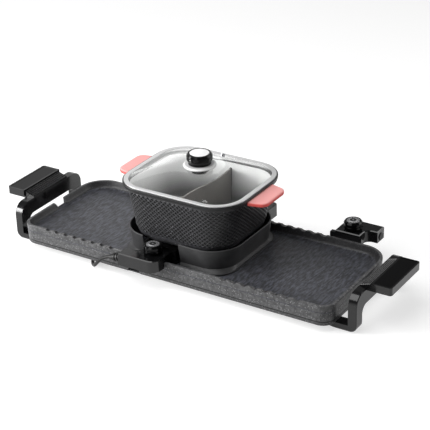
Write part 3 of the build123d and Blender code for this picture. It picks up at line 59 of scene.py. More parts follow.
# ================================================================ camera
camera_lens = 123.28
camera_place = (1.3496, -2.0315, 1.3091)
camera_right = Vector((0.84434, 0.53505, -0.02863))
camera_up = Vector((-0.21771, 0.39139, 0.89410))
camera_back = Vector((0.48959, -0.74869, 0.44695))
camera_data = bpy.data.cameras.new("camera")
camera_data.sensor_width = 36.0
camera_data.lens = camera_lens
camera_data.clip_end = 50.0
camera = bpy.data.objects.new("camera", camera_data)
camera.matrix_world = (
    Matrix.Translation(camera_place)
    @ Matrix((camera_right, camera_up, camera_back)).transposed().to_4x4()
)
bpy.context.scene.collection.objects.link(camera)
bpy.context.scene.camera = camera
bpy.context.scene.view_settings.view_transform = "Standard"


# ================================================================ helpers for finishes
def colour(code):
    """sRGB hex to linear RGBA."""
    parts = [int(code[i:i + 2], 16) / 255 for i in (1, 3, 5)]
    return [c / 12.92 if c <= 0.04045 else ((c + 0.055) / 1.055) ** 2.4 for c in parts] + [1.0]


def per(size):
    """Texture scale for a pattern that repeats every so many millimetres."""
    return 1 / (size * MM)


def add_node(tree, kind, settings=None, links=None):
    """A node with its properties, colour stops and socket values, and its inputs linked."""
    node = tree.nodes.new(kind)
    for name, value in (settings or {}).items():
        if name == "stops":
            elements = node.color_ramp.elements
            while len(elements) < len(value):
                elements.new(0.5)
            for element, (position, shade) in zip(elements, value):
                element.position = position
                element.color = colour(shade) if isinstance(shade, str) else (shade, shade, shade, 1.0)
        elif isinstance(name, str) and hasattr(node, name):
            setattr(node, name, value)
        else:
            node.inputs[name].default_value = value
    for name, output in (links or {}).items():
        tree.links.new(output, node.inputs[name])
    return node


def new_material(name, **shader):
    """A material with one Principled shader; the keywords are its sockets."""
    material = bpy.data.materials.new(name)
    material.use_nodes = True
    tree = material.node_tree
    tree.nodes.clear()
    surface = add_node(tree, "ShaderNodeBsdfPrincipled", {
        key.replace("_", " "): value for key, value in shader.items()
    })
    add_node(tree, "ShaderNodeOutputMaterial", links={"Surface": surface.outputs["BSDF"]})
    return material, tree, surface


def paint(material, *names):
    """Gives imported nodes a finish."""
    for name in names:
        for slot in nodes[name].material_slots:
            slot.material = material


# ================================================================ helpers for pieces
def piece(name, bm, material, body, smooth=True):
    """Turns a bmesh into an object that rides on a body."""
    mesh = bpy.data.meshes.new(name)
    bmesh.ops.remove_doubles(bm, verts=bm.verts, dist=1e-6)
    bm.to_mesh(mesh)
    bm.free()
    mesh.materials.append(material)
    for face in mesh.polygons:
        face.use_smooth = smooth
    made = bpy.data.objects.new(name, mesh)
    bpy.context.scene.collection.objects.link(made)
    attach(made, body)
    return made


CORNER_SEGMENTS = 10


def rounded_plate(bm, length, width, corner, z):
    """Edges of a rounded rectangle over the pot's middle; the face is left out."""
    made = bmesh.ops.create_grid(bm, x_segments=1, y_segments=1, size=0.5)["verts"]
    bmesh.ops.scale(bm, vec=(length * MM, width * MM, 1), verts=made)
    bmesh.ops.translate(bm, vec=place(0, 0, z), verts=made)
    bevelled = bmesh.ops.bevel(
        bm, geom=made, offset=corner * MM, offset_type="OFFSET", affect="VERTICES", segments=CORNER_SEGMENTS,
        profile=0.5, material=-1,
    )
    corners = set(bevelled["verts"])
    outline = next(face for face in bm.faces if corners.issuperset(face.verts))
    edges = list(outline.edges)
    bmesh.ops.delete(bm, geom=[outline], context="FACES_ONLY")
    return edges


def section_loft(bm, sections):
    """Walls between rounded rectangles given as (z, length, width, corner)."""
    rings = [rounded_plate(bm, length, width, corner, z) for z, length, width, corner in sections]
    for below, above in zip(rings, rings[1:]):
        bmesh.ops.bridge_loops(bm, edges=below + above)
    return rings


# ================================================================ finishes
def sprayed_coat(name, roughness, shades, fleck, fleck_size, fleck_share):
    """Stone-look non-stick coat sprayed on die-cast aluminium: matt, clouded, with pale flecks and fine grain.

    The flecks are half a millimetre wide on the real coat and are drawn coarser so that they show.
    """
    material, tree, surface = new_material(name, Roughness=roughness, Specular_IOR_Level=0.35)
    place_in = add_node(tree, "ShaderNodeTexCoord").outputs["Object"]
    clouds = add_node(tree, "ShaderNodeTexNoise", {"Scale": per(6.0), "Detail": 4.0}, {"Vector": place_in})
    ground = add_node(tree, "ShaderNodeValToRGB", {"stops": [(0.32, shades[0]), (0.68, shades[1])]},
                      {"Fac": clouds.outputs["Fac"]})
    cells = add_node(tree, "ShaderNodeTexVoronoi", {"Scale": per(fleck_size)}, {"Vector": place_in})
    cell_pick = add_node(tree, "ShaderNodeSeparateColor", links={"Color": cells.outputs["Color"]})
    chosen = add_node(tree, "ShaderNodeMath", {"operation": "LESS_THAN", 1: fleck_share},
                      {0: cell_pick.outputs["Red"]})
    dot = add_node(tree, "ShaderNodeValToRGB", {"stops": [(0.22, 1.0), (0.42, 0.0)]},
                   {"Fac": cells.outputs["Distance"]})
    pale = add_node(tree, "ShaderNodeMath", {"operation": "MULTIPLY"},
                    {0: chosen.outputs[0], 1: dot.outputs["Color"]})
    flecked = add_node(tree, "ShaderNodeMix", {"data_type": "RGBA", 7: colour(fleck)},
                       {0: pale.outputs[0], 6: ground.outputs["Color"]})
    tree.links.new(flecked.outputs[2], surface.inputs["Base Color"])
    grain = add_node(tree, "ShaderNodeTexNoise", {"Scale": per(1.6), "Detail": 2.0}, {"Vector": place_in})
    bump = add_node(tree, "ShaderNodeBump", {"Strength": 0.45, "Distance": 0.4 * MM},
                    {"Height": grain.outputs["Fac"]})
    tree.links.new(bump.outputs[0], surface.inputs["Normal"])
    return material, tree, surface, flecked, grain, bump


def tray_finish():
    """The tray's coat is darker inside the walls, and its cooking surface is cast with fine ripples."""
    cooking_low, cooking_high = 38.5, 40.5       # the cooking surface lies between these heights
    ripple_width, ripple_turn, ripple_stretch = 3.6, -12, 0.22
    material, tree, surface, flecked, grain, bump = sprayed_coat(
        "stone_nonstick_coat", 0.42, ("#3E3E3F", "#5C5C5D"), "#8E8E8F", 2.4, 0.26)
    texture_in = add_node(tree, "ShaderNodeTexCoord")
    place_in = texture_in.outputs["Object"]
    height_in = add_node(tree, "ShaderNodeSeparateXYZ", links={"Vector": place_in}).outputs["Z"]
    below_wall = add_node(tree, "ShaderNodeMath", {"operation": "LESS_THAN", 1: cooking_high * MM},
                          {0: height_in})
    above_seam = add_node(tree, "ShaderNodeMath", {"operation": "GREATER_THAN", 1: cooking_low * MM},
                          {0: height_in})
    on_floor = add_node(tree, "ShaderNodeMath", {"operation": "MULTIPLY"},
                        {0: below_wall.outputs[0], 1: above_seam.outputs[0]}).outputs[0]
    level_place = add_node(tree, "ShaderNodeVectorMath", {"operation": "MULTIPLY", 1: (1, 1, 0)}, {0: place_in})
    outwards = add_node(tree, "ShaderNodeVectorMath", {"operation": "DOT_PRODUCT"},
                        {0: level_place.outputs[0], 1: texture_in.outputs["Normal"]})
    inwards = add_node(tree, "ShaderNodeMath", {"operation": "LESS_THAN", 1: -0.01},
                       {0: outwards.outputs["Value"]})
    inside = add_node(tree, "ShaderNodeMath", {"operation": "MAXIMUM"}, {0: inwards.outputs[0], 1: on_floor})
    drawn_out = add_node(tree, "ShaderNodeMapping",
                         {"Rotation": (0, 0, math.radians(ripple_turn)), "Scale": (1, ripple_stretch, 1)},
                         {"Vector": place_in})
    waves = add_node(tree, "ShaderNodeTexNoise", {"Scale": per(ripple_width), "Detail": 3.0},
                     {"Vector": drawn_out.outputs[0]})
    streaks = add_node(tree, "ShaderNodeValToRGB", {"stops": [(0.40, "#222327"), (0.70, "#52545E")]},
                       {"Fac": waves.outputs["Fac"]})
    wall_or_floor = add_node(tree, "ShaderNodeMix", {"data_type": "RGBA", 6: colour("#222224")},
                             {0: on_floor, 7: streaks.outputs["Color"]})
    half_flecked = add_node(tree, "ShaderNodeMix", {"data_type": "RGBA", 0: 0.22},
                            {6: wall_or_floor.outputs[2], 7: flecked.outputs[2]})
    all_over = add_node(tree, "ShaderNodeMix", {"data_type": "RGBA"},
                        {0: inside.outputs[0], 6: flecked.outputs[2], 7: half_flecked.outputs[2]})
    tree.links.new(all_over.outputs[2], surface.inputs["Base Color"])
    ripple = add_node(tree, "ShaderNodeMath", {"operation": "MULTIPLY"}, {0: waves.outputs["Fac"], 1: on_floor})
    relief = add_node(tree, "ShaderNodeMath", {"operation": "ADD"},
                      {0: ripple.outputs[0], 1: grain.outputs["Fac"]})
    tree.links.new(relief.outputs[0], bump.inputs["Height"])
    return material


def pan_finish():
    """Pressed steel with a stoved charcoal paint, speckled to go with the tray.

    A painted shadow darkens the pan's upper edge, in the seam under the casting.
    """
    seam_z = 19.8
    material, tree, surface, flecked, *_ = sprayed_coat(
        "stoved_charcoal_paint", 0.45, ("#3A3A3B", "#4E4E4F"), "#858586", 2.4, 0.26)
    place_in = add_node(tree, "ShaderNodeTexCoord").outputs["Object"]
    height_in = add_node(tree, "ShaderNodeSeparateXYZ", links={"Vector": place_in}).outputs["Z"]
    # Painted shadow: above this height the pan is painted near black, for the shade in the seam under the
    # casting.
    seam_shadow_mask = add_node(tree, "ShaderNodeMath", {"operation": "GREATER_THAN", 1: seam_z * MM}, {0: height_in})
    painted_seam_shadow = add_node(tree, "ShaderNodeMix", {"data_type": "RGBA", 7: colour("#0C0C0D")},
                         {0: seam_shadow_mask.outputs[0], 6: flecked.outputs[2]})
    tree.links.new(painted_seam_shadow.outputs[2], surface.inputs["Base Color"])
    return material


def pot_finish():
    """Outside the pot the coat is nearly black; inside it is grey, with painted light near the top and painted
    shade towards the bottom.

    The divider is a warmer grey, and the lip is nearly black: the coat's own dark colour, darkened further by
    painted shade under the lid's band.
    """
    divider_reach, bottom_z = 90.5, 78.0         # from the pot's axis; the inner bottom
    wall_foot, wall_head, lip_z = 95.0, 166.0, 166.5
    material, tree, surface, flecked, *_ = sprayed_coat(
        "dark_nonstick_coat", 0.36, ("#2A2A2C", "#3C3C3F"), "#7C7C7F", 2.2, 0.12)
    texture_in = add_node(tree, "ShaderNodeTexCoord")
    place_in = texture_in.outputs["Object"]
    from_middle = add_node(tree, "ShaderNodeVectorMath", {"operation": "ADD", 1: (0, -POT_Y * MM, 0)},
                           {0: place_in})
    level_place = add_node(tree, "ShaderNodeVectorMath", {"operation": "MULTIPLY", 1: (1, 1, 0)},
                           {0: from_middle.outputs[0]})
    outwards = add_node(tree, "ShaderNodeVectorMath", {"operation": "DOT_PRODUCT"},
                        {0: level_place.outputs[0], 1: texture_in.outputs["Normal"]})
    inwards = add_node(tree, "ShaderNodeMath", {"operation": "LESS_THAN", 1: -0.03},
                       {0: outwards.outputs["Value"]})
    height_in = add_node(tree, "ShaderNodeSeparateXYZ", links={"Vector": place_in}).outputs["Z"]
    from_axis = add_node(tree, "ShaderNodeVectorMath", {"operation": "LENGTH"}, {0: level_place.outputs[0]})
    within_reach = add_node(tree, "ShaderNodeMath", {"operation": "LESS_THAN", 1: divider_reach * MM},
                            {0: from_axis.outputs["Value"]})
    above_bottom = add_node(tree, "ShaderNodeMath", {"operation": "GREATER_THAN", 1: bottom_z * MM},
                            {0: height_in})
    near_divider = add_node(tree, "ShaderNodeMath", {"operation": "MULTIPLY"},
                            {0: within_reach.outputs[0], 1: above_bottom.outputs[0]})
    up_the_wall = add_node(tree, "ShaderNodeMapRange", {"From Min": wall_foot * MM, "From Max": wall_head * MM},
                           {"Value": height_in})
    # Painted light and shade: by height, the inner wall is painted from dark grey at the foot to near white at
    # the top.
    painted_inner_light_and_shade = add_node(tree, "ShaderNodeValToRGB",
                           {"stops": [(0.0, "#6A6A6A"), (0.45, "#C4C4C4"), (1.0, "#EEEEEE")]},
                           {"Fac": up_the_wall.outputs["Result"]})
    all_over = add_node(tree, "ShaderNodeMix", {"data_type": "RGBA"},
                        {0: inwards.outputs[0], 6: flecked.outputs[2], 7: painted_inner_light_and_shade.outputs["Color"]})
    all_over = add_node(tree, "ShaderNodeMix", {"data_type": "RGBA", 7: colour("#6E6B68")},
                        {0: near_divider.outputs[0], 6: all_over.outputs[2]})
    # Painted shade: above the lip's height the coat is painted nearly black, for the shade under the lid's
    # band.
    on_lip = add_node(tree, "ShaderNodeMath", {"operation": "GREATER_THAN", 1: lip_z * MM}, {0: height_in})
    lip_with_painted_shade = add_node(tree, "ShaderNodeMix", {"data_type": "RGBA", 7: colour("#111112")},
                        {0: on_lip.outputs[0], 6: all_over.outputs[2]})
    tree.links.new(lip_with_painted_shade.outputs[2], surface.inputs["Base Color"])
    return material


def grain_surface(tree, surface, place_in, size, detail, roughness, strength, depth):
    """A grain that moves the gloss between two roughness values and stands out of the surface a little."""
    grain = add_node(tree, "ShaderNodeTexNoise", {"Scale": per(size), "Detail": detail}, {"Vector": place_in})
    gloss = add_node(tree, "ShaderNodeMapRange",
                     {"From Min": 0.3, "From Max": 0.7, "To Min": roughness[0], "To Max": roughness[1]},
                     {"Value": grain.outputs["Fac"]})
    tree.links.new(gloss.outputs["Result"], surface.inputs["Roughness"])
    bump = add_node(tree, "ShaderNodeBump", {"Strength": strength, "Distance": depth * MM},
                    {"Height": grain.outputs["Fac"]})
    tree.links.new(bump.outputs[0], surface.inputs["Normal"])


def moulded_phenolic(name, shades, roughness, specular, grain_size, strength):
    """Black moulded phenolic: faintly uneven colour and gloss, with the grain of its mould."""
    material, tree, surface = new_material(name, IOR=1.5, Specular_IOR_Level=specular)
    place_in = add_node(tree, "ShaderNodeTexCoord").outputs["Object"]
    patches = add_node(tree, "ShaderNodeTexNoise", {"Scale": per(25.0), "Detail": 3.0}, {"Vector": place_in})
    shade = add_node(tree, "ShaderNodeValToRGB", {"stops": [(0.3, shades[0]), (0.7, shades[1])]},
                     {"Fac": patches.outputs["Fac"]})
    tree.links.new(shade.outputs["Color"], surface.inputs["Base Color"])
    grain_surface(tree, surface, place_in, grain_size, 2.0, roughness, strength, 0.15)
    return material


def plain_metal(name, code, roughness, grain_size, strength=0.2, metallic=1.0):
    """A metal with a fine, slightly uneven surface."""
    material, tree, surface = new_material(name, Metallic=metallic, Base_Color=colour(code))
    place_in = add_node(tree, "ShaderNodeTexCoord").outputs["Object"]
    grain_surface(tree, surface, place_in, grain_size, 3.0, roughness, strength, 0.1)
    return material


def spun_metal(name, centre, code, metallic):
    """Spun and anodised aluminium: concentric lines round a centre.

    The real lines are a few tenths of a millimetre apart and are drawn coarser so that they show.
    """
    line_spacing = 4.398
    material, tree, surface = new_material(name, Metallic=metallic, Base_Color=colour(code))
    place_in = add_node(tree, "ShaderNodeTexCoord").outputs["Object"]
    centred = add_node(tree, "ShaderNodeVectorMath", {"operation": "SUBTRACT", 1: centre}, {0: place_in})
    rings = add_node(tree, "ShaderNodeTexWave", {
        # At a scale of 1 the texture's rings are 2 pi / 20 apart.
        "wave_type": "RINGS", "rings_direction": "Z", "Scale": per(line_spacing * 20 / (2 * math.pi)),
        "Distortion": 0.6,
    }, {"Vector": centred.outputs[0]})
    gloss = add_node(tree, "ShaderNodeMapRange", {"To Min": 0.40, "To Max": 0.58},
                     {"Value": rings.outputs["Fac"]})
    tree.links.new(gloss.outputs["Result"], surface.inputs["Roughness"])
    bump = add_node(tree, "ShaderNodeBump", {"Strength": 0.3, "Distance": 0.1 * MM},
                    {"Height": rings.outputs["Fac"]})
    tree.links.new(bump.outputs[0], surface.inputs["Normal"])
    return material


def glass_finish():
    """Tempered glass: clear. Lamps shine through it as through a thin pane."""
    material, tree, surface = new_material(
        "tempered_glass", IOR=1.5, Transmission_Weight=1.0, Base_Color=colour("#FDFEFD"), Roughness=0.02)
    lamp_ray = add_node(tree, "ShaderNodeLightPath").outputs["Is Shadow Ray"]
    clear = add_node(tree, "ShaderNodeBsdfTransparent", {"Color": colour("#FAFAFA")})
    lit_through = add_node(tree, "ShaderNodeMixShader",
                           links={0: lamp_ray, 1: surface.outputs[0], 2: clear.outputs[0]})
    tree.links.new(lit_through.outputs[0], tree.nodes["Material Output"].inputs["Surface"])
    return material


def silicone_finish():
    """Silicone moulded in a bead-blasted mould: soft, matt, painted paler on top as painted light, with rows of
    small grip dots.
    """
    material, tree, surface = new_material(
        "moulded_pink_silicone", IOR=1.42, Roughness=0.5, Subsurface_Weight=0.15, Subsurface_Scale=0.003,
        Subsurface_Radius=(1.0, 0.35, 0.3))
    texture_in = add_node(tree, "ShaderNodeTexCoord")
    facing = add_node(tree, "ShaderNodeSeparateXYZ", links={"Vector": texture_in.outputs["Normal"]})
    # Painted light: faces that look up are painted paler pink than the sides.
    painted_top_light = add_node(tree, "ShaderNodeValToRGB", {"stops": [(0.2, "#F2605A"), (0.9, "#F4A9A6")]},
                           {"Fac": facing.outputs["Z"]})
    tree.links.new(painted_top_light.outputs["Color"], surface.inputs["Base Color"])
    dots = add_node(tree, "ShaderNodeTexVoronoi", {"Scale": per(2.4), "Randomness": 0.0},
                    {"Vector": texture_in.outputs["Object"]})
    bump = add_node(tree, "ShaderNodeBump", {"Strength": 0.5, "Distance": 0.3 * MM},
                    {"Height": dots.outputs["Distance"]})
    tree.links.new(bump.outputs[0], surface.inputs["Normal"])
    return material


def pvc_finish():
    """Flexible PVC and rubber: matt black, a little grey where it is handled."""
    material, tree, surface = new_material(
        "flexible_black_pvc", IOR=1.5, Roughness=0.5, Specular_IOR_Level=0.3)
    place_in = add_node(tree, "ShaderNodeTexCoord").outputs["Object"]
    wear = add_node(tree, "ShaderNodeTexNoise", {"Scale": per(12.0), "Detail": 4.0}, {"Vector": place_in})
    shade = add_node(tree, "ShaderNodeValToRGB", {"stops": [(0.35, "#090909"), (0.8, "#131313")]},
                     {"Fac": wear.outputs["Fac"]})
    tree.links.new(shade.outputs["Color"], surface.inputs["Base Color"])
    return material


stone_coat = tray_finish()
pan_coat = pan_finish()
pot_coat = pot_finish()
# Painted shade: the hammered pits get a darker copy of the coat, for the shade in the hollows.
pit_shade_coat = sprayed_coat("painted_pit_shade_coat", 0.42, ("#0D0D0E", "#161617"), "#3A3A3C", 2.2, 0.08)[0]
# Bead-blasted mould: charcoal and matt. Smooth mould: black with clear highlights. Sand-textured mould: satin
# black. Polished mould: deep black with sharp highlights.
matt_phenolic = moulded_phenolic(
    "matt_moulded_phenolic", ("#2C2C2D", "#3A3A3B"), (0.42, 0.54), 0.35, 1.6, 0.5)
smooth_phenolic = moulded_phenolic(
    "smooth_moulded_phenolic", ("#0A0A0B", "#101011"), (0.10, 0.20), 0.5, 4.0, 0.1)
satin_phenolic = moulded_phenolic(
    "satin_moulded_phenolic", ("#1A1A1B", "#222223"), (0.24, 0.36), 0.42, 1.2, 0.3)
gloss_phenolic = moulded_phenolic(
    "polished_moulded_phenolic", ("#040405", "#070708"), (0.05, 0.14), 0.14, 14.0, 0.05)
# Bright-annealed stainless band, rolled over the glass.
lid_steel = plain_metal("bright_stainless_band", "#DEDEDE", (0.32, 0.42), 6.0, 0.1, 0.55)
zinc_steel = plain_metal("zinc_plated_steel", "#A8A9AC", (0.28, 0.42), 1.5)
heater_steel = plain_metal("heat_darkened_steel_tube", "#5A5550", (0.4, 0.6), 3.0)
cast_aluminium = plain_metal("bare_cast_aluminium", "#B6B6B8", (0.38, 0.55), 1.8, 0.4)
nickel_brass = plain_metal("nickel_plated_brass", "#C9C2A8", (0.15, 0.28), 2.0)
tempered_glass = glass_finish()
pink_silicone = silicone_finish()
black_pvc = pvc_finish()
# Screen-printed ink: flat black on the dials.
dial_ink = new_material("black_screen_ink", Roughness=0.6, Base_Color=colour("#101010"))[0]

dial_centres = {"front": (-30.0, -116.5), "back": (240.0, 142.0)}
# Painted shade: the front dial is the same spun part as the back one, but is painted a little darker.
front_dial_metal_painted_darker = spun_metal("spun_front_dial", place(*dial_centres["front"], 0), "#A8A8AA", 0.8)
back_dial_metal = spun_metal("spun_back_dial", place(*dial_centres["back"], 0), "#B8B8BA", 0.8)
lid_cap_metal = spun_metal("spun_lid_cap", place(0, 0, 0), "#FAFAFA", 0.15)
knob_disc_metal = spun_metal("spun_knob_disc", place(0, 0, 0), "#D6D6D6", 0.25)

paint(stone_coat, "grill_tray")
paint(pot_coat, "pot_shell")
paint(pan_coat, "base_pan")
paint(matt_phenolic, "pot_collar")
paint(satin_phenolic, "front_thermostat", "back_thermostat", "lid_knob_boss")
paint(smooth_phenolic, "left_handle_frame", "right_handle_frame", "left_handle_grip", "right_handle_grip",
      "socket_housing", "rear_housing", "back_socket", "front_control_base", "back_control_base",
      "front_control_cover", "back_control_cover")
paint(gloss_phenolic, "left_grip_inlay", "right_grip_inlay", "front_knob", "back_knob", "lid_knob")
paint(front_dial_metal_painted_darker, "front_dial_plate")
paint(back_dial_metal, "back_dial_plate")
paint(lid_cap_metal, "lid_knob_cap")
paint(knob_disc_metal, "lid_knob_base")
paint(lid_steel, "lid_rim")
paint(zinc_steel, "base_screws", "collar_screws", "left_handle_screws", "right_handle_screws",
      "front_control_screws", "back_control_screws", "lid_knob_screw", "front_knob_shaft", "back_knob_shaft",
      "front_sensor_probe", "back_sensor_probe", "heater_clips", "thermal_cutout", "reflector_dish",
      "vent_eyelet")
paint(heater_steel, "left_grill_heater", "right_grill_heater", "pot_heater")
paint(cast_aluminium, "heating_plate")
paint(pink_silicone, "left_ear_sleeve", "right_ear_sleeve")
paint(black_pvc, "foot_pads", "strain_relief", "mains_plug", "back_grommet")
paint(nickel_brass, "plug_pins")

# ================================================================ mains lead
cord_diameter = 6.5
coil_centre = (-105.0, 190.0)
low_turn, high_turn = 3.4, 9.9
outer_turn, inner_turn = 39.0, 32.5
turns, points_per_turn = 3.5, 16
# Parts of a turn in which the lead changes lane.
inwards, upwards, outwards = (0.86, 1.0), (1.72, 1.86), (2.55, 2.72)
# Control points of a quadratic spline stand this much outside the round that it draws.
stand_out = 1 / (1 - 0.75 * (1 - math.cos(math.pi / points_per_turn)))
lead_points = [
    (-111.67, -137.5, 44.23), (-127.19, -137.5, 40.36), (-146, -135.5, 22), (-160, -127, 7.5),
    (-178, -108, low_turn), (-193, -80, low_turn), (-199, -45, low_turn), (-194, -6, low_turn),
    (-181, 34, low_turn), (-166, 72, low_turn), (-153, 108, low_turn), (-145.5, 140, low_turn),
    (-144.5, 168, low_turn),
]


def lane(turn, span):
    """How far a lane change has come after so many turns, from 0 to 1."""
    start, end = span
    return min(1.0, max(0.0, (turn - start) / (end - start)))


# Three and a half turns, clockwise from above: outer low, inner low, inner high, outer high.
for step in range(int(turns * points_per_turn) + 1):
    turn = step / points_per_turn
    radius = outer_turn - (outer_turn - inner_turn) * (lane(turn, inwards) - lane(turn, outwards))
    height = low_turn + (high_turn - low_turn) * lane(turn, upwards)
    angle = math.pi - 2 * math.pi * turn
    lead_points.append((
        coil_centre[0] + stand_out * radius * math.cos(angle),
        coil_centre[1] + stand_out * radius * math.sin(angle),
        height,
    ))
lead_points += [(-66, 185, 9.75), (-58, 171.1, 9.2), (-44.1, 163.1, 8), (-28, 163.1, 8)]
lead_curve = bpy.data.curves.new("mains_lead", "CURVE")
lead_curve.dimensions = "3D"
lead_curve.bevel_depth = cord_diameter / 2 * MM
lead_curve.bevel_resolution = 5
lead_curve.resolution_u = 6
lead_curve.use_fill_caps = True
spline = lead_curve.splines.new("NURBS")
spline.points.add(len(lead_points) - 1)
for control, point in zip(spline.points, lead_points):
    control.co = (*place(*point), 1)
spline.order_u = 3
spline.use_endpoint_u = True
lead_curve.materials.append(black_pvc)
mains_lead = bpy.data.objects.new("mains_lead", lead_curve)
bpy.context.scene.collection.objects.link(mains_lead)
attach(mains_lead, "base")
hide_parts("cord_lead", "cord_coil", "cord_tail")

# ================================================================ tie round the stored coil
tie_width, tie_height, tie_band, tie_corner = 14.6, 14.2, 7.0, 3.4
bm = bmesh.new()
strap = bmesh.ops.create_grid(bm, x_segments=1, y_segments=1, size=0.5)["verts"]
bmesh.ops.scale(bm, vec=(tie_width * MM, tie_height * MM, 1), verts=strap)
bmesh.ops.bevel(bm, geom=strap, offset=tie_corner * MM, offset_type="OFFSET", affect="VERTICES", segments=5,
                profile=0.5, material=-1)
bmesh.ops.delete(bm, geom=bm.faces[:], context="FACES_ONLY")
walls = bmesh.ops.extrude_edge_only(bm, edges=bm.edges[:])["geom"]
far_edge = [part for part in walls if isinstance(part, bmesh.types.BMVert)]
bmesh.ops.translate(bm, vec=(0, 0, tie_band * MM), verts=far_edge)
bmesh.ops.rotate(bm, matrix=Matrix.Rotation(math.radians(90), 3, "X"), verts=bm.verts)
bmesh.ops.rotate(bm, matrix=Matrix.Rotation(math.radians(90), 3, "Z"), verts=bm.verts)
tie_place = place(coil_centre[0] - tie_band / 2, coil_centre[1] + (outer_turn + inner_turn) / 2, tie_height / 2)
bmesh.ops.translate(bm, vec=tie_place, verts=bm.verts)
bmesh.ops.recalc_face_normals(bm, faces=bm.faces)
cord_tie = piece("cord_tie", bm, black_pvc, "base")

# ================================================================ pot: hammered facets round the wall
pot_z, pot_rim_z = 70.0, 172.0
pot_base = (200.0, 189.0, 53.0)
pot_top = (240.0, 198.0, 57.0)


def pot_outline(share, along):
    """Point on the pot's wall and its outward direction: share is the height, along is 0 to 1 round it."""
    length, width, corner = (low + (high - low) * share for low, high in zip(pot_base, pot_top))
    straight_x, straight_y, arc = length - 2 * corner, width - 2 * corner, corner * math.pi / 2
    half_way = straight_x + straight_y + 2 * arc
    run = along * 2 * half_way
    turned = run >= half_way - 1e-9
    if turned:
        run -= half_way
    if run < straight_x:
        point, facing = Vector((run - straight_x / 2, -width / 2)), Vector((0, -1))
    elif run < straight_x + arc:
        angle = (run - straight_x) / corner - math.pi / 2
        facing = Vector((math.cos(angle), math.sin(angle)))
        point = Vector((straight_x / 2, -straight_y / 2)) + facing * corner
    elif run < straight_x + arc + straight_y:
        point, facing = Vector((length / 2, run - straight_x - arc - straight_y / 2)), Vector((1, 0))
    else:
        angle = (run - straight_x - arc - straight_y) / corner
        facing = Vector((math.cos(angle), math.sin(angle)))
        point = Vector((straight_x / 2, straight_y / 2)) + facing * corner
    if turned:
        point, facing = -point, -facing
    return point, facing


# A net of raised ridges with a flat-bottomed pit in each mesh.
dimple_columns, dimple_rows = 160, 20
dimple_bottom, dimple_top = 0.165, 0.94
ridge_height, ridge_half_width = 1.5, 0.9
pit_height, slope_width = 0.2, 1.0
edge_sink = 0.2                   # the net's upper and lower edges end this deep in the wall
smallest_mesh = 20.0              # square millimetres; the half meshes along the edges stay flat
bm = bmesh.new()
bmesh.ops.create_grid(bm, x_segments=dimple_columns, y_segments=dimple_rows, size=0.5)
ridges, pits = [], []
for vert in bm.verts:
    column = round((vert.co.x + 0.5) * dimple_columns)
    row = round((vert.co.y + 0.5) * dimple_rows)
    share = dimple_bottom + (dimple_top - dimple_bottom) * row / dimple_rows
    point, facing = pot_outline(share, column / dimple_columns % 1)
    at_edge = row in (0, dimple_rows)
    if (column + row) % 2:
        ridges.append(vert)
    elif not at_edge:
        pits.append(vert)
    point = point + facing * (-edge_sink if at_edge else ridge_height)
    vert.co = place(point.x, point.y, pot_z + share * (pot_rim_z - pot_z))
bmesh.ops.remove_doubles(bm, verts=bm.verts, dist=1e-5)
bmesh.ops.connect_verts(bm, verts=[vert for vert in ridges if vert.is_valid])
bmesh.ops.dissolve_verts(bm, verts=[vert for vert in pits if vert.is_valid])
meshes = [face for face in bm.faces if len(face.verts) == 4 and face.calc_area() > smallest_mesh * MM ** 2]
bmesh.ops.inset_individual(bm, faces=meshes, thickness=ridge_half_width * MM, depth=0)
slopes = bmesh.ops.inset_individual(
    bm, faces=meshes, thickness=slope_width * MM, depth=(pit_height - ridge_height) * MM)["faces"]
# The pits' floors and slopes take the darker coat, painted shade in the hollows.
for face in meshes + slopes:
    face.material_index = 1
pot_facets = piece("pot_facets", bm, pot_coat, "pot", smooth=False)
pot_facets.data.materials.append(pit_shade_coat)

# ================================================================ bead on the pot's lip, round the lid's band
bead_bottom, bead_top, bead_round = 172.05, 176.6, 0.9
bead_inner = (250.8, 208.8, 58.4)
bead_outer = (255.6, 213.6, 60.8)
both_sides = (2, 2, 1)            # a length and a width change at both ends, a corner radius once
bm = bmesh.new()
bead_rings = section_loft(bm, [
    (bead_bottom, *bead_outer),
    (bead_top - bead_round, *bead_outer),
    (bead_top, *(size - share * bead_round for size, share in zip(bead_outer, both_sides))),
    (bead_top, *(size + share * bead_round for size, share in zip(bead_inner, both_sides))),
    (bead_top - bead_round, *bead_inner),
    (bead_bottom, *bead_inner),
])
bmesh.ops.bridge_loops(bm, edges=bead_rings[0] + bead_rings[-1])
bmesh.ops.recalc_face_normals(bm, faces=bm.faces)
lip_bead = piece("lip_bead", bm, pot_coat, "pot")

# ================================================================ lid glass: a smooth dome under the band
lid_z, lid_top_z = 172.3, 177.8
lid_length, lid_width, lid_corner = 250.0, 208.0, 58.0
lid_flange, lid_sheet, glass_thickness = 8.5, 1.0, 3.5
crown_length, crown_width, dome_height = 74.0, 68.0, 21.0
dome_steps, dome_fullness = 18, 1.62
seat_gap, side_gap = 0.05, 0.1    # between the glass and its band
dome_foot = (lid_length - 2 * lid_flange, lid_width - 2 * lid_flange, lid_corner - lid_flange)
crown = (crown_length, crown_width, crown_width / 2 - 1)
under_band = (lid_length - 2 * (lid_sheet + side_gap), lid_width - 2 * (lid_sheet + side_gap),
              lid_corner - lid_sheet)
sections = [(lid_z + lid_sheet + glass_thickness - seat_gap, *under_band)]
for step in range(dome_steps + 1):
    share = step / dome_steps
    rise = 1 - (1 - share) ** dome_fullness
    sections.append((lid_top_z - seat_gap + rise * dome_height, *(
        low + (high - low) * share for low, high in zip(dome_foot, crown)
    )))
bm = bmesh.new()
rings = section_loft(bm, sections)
bmesh.ops.contextual_create(bm, geom=rings[-1])
bmesh.ops.recalc_face_normals(bm, faces=bm.faces)
lid_dome = piece("lid_dome", bm, tempered_glass, "lid")
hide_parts("lid_glass")
wall = lid_dome.modifiers.new("thickness", "SOLIDIFY")
wall.thickness = glass_thickness * MM
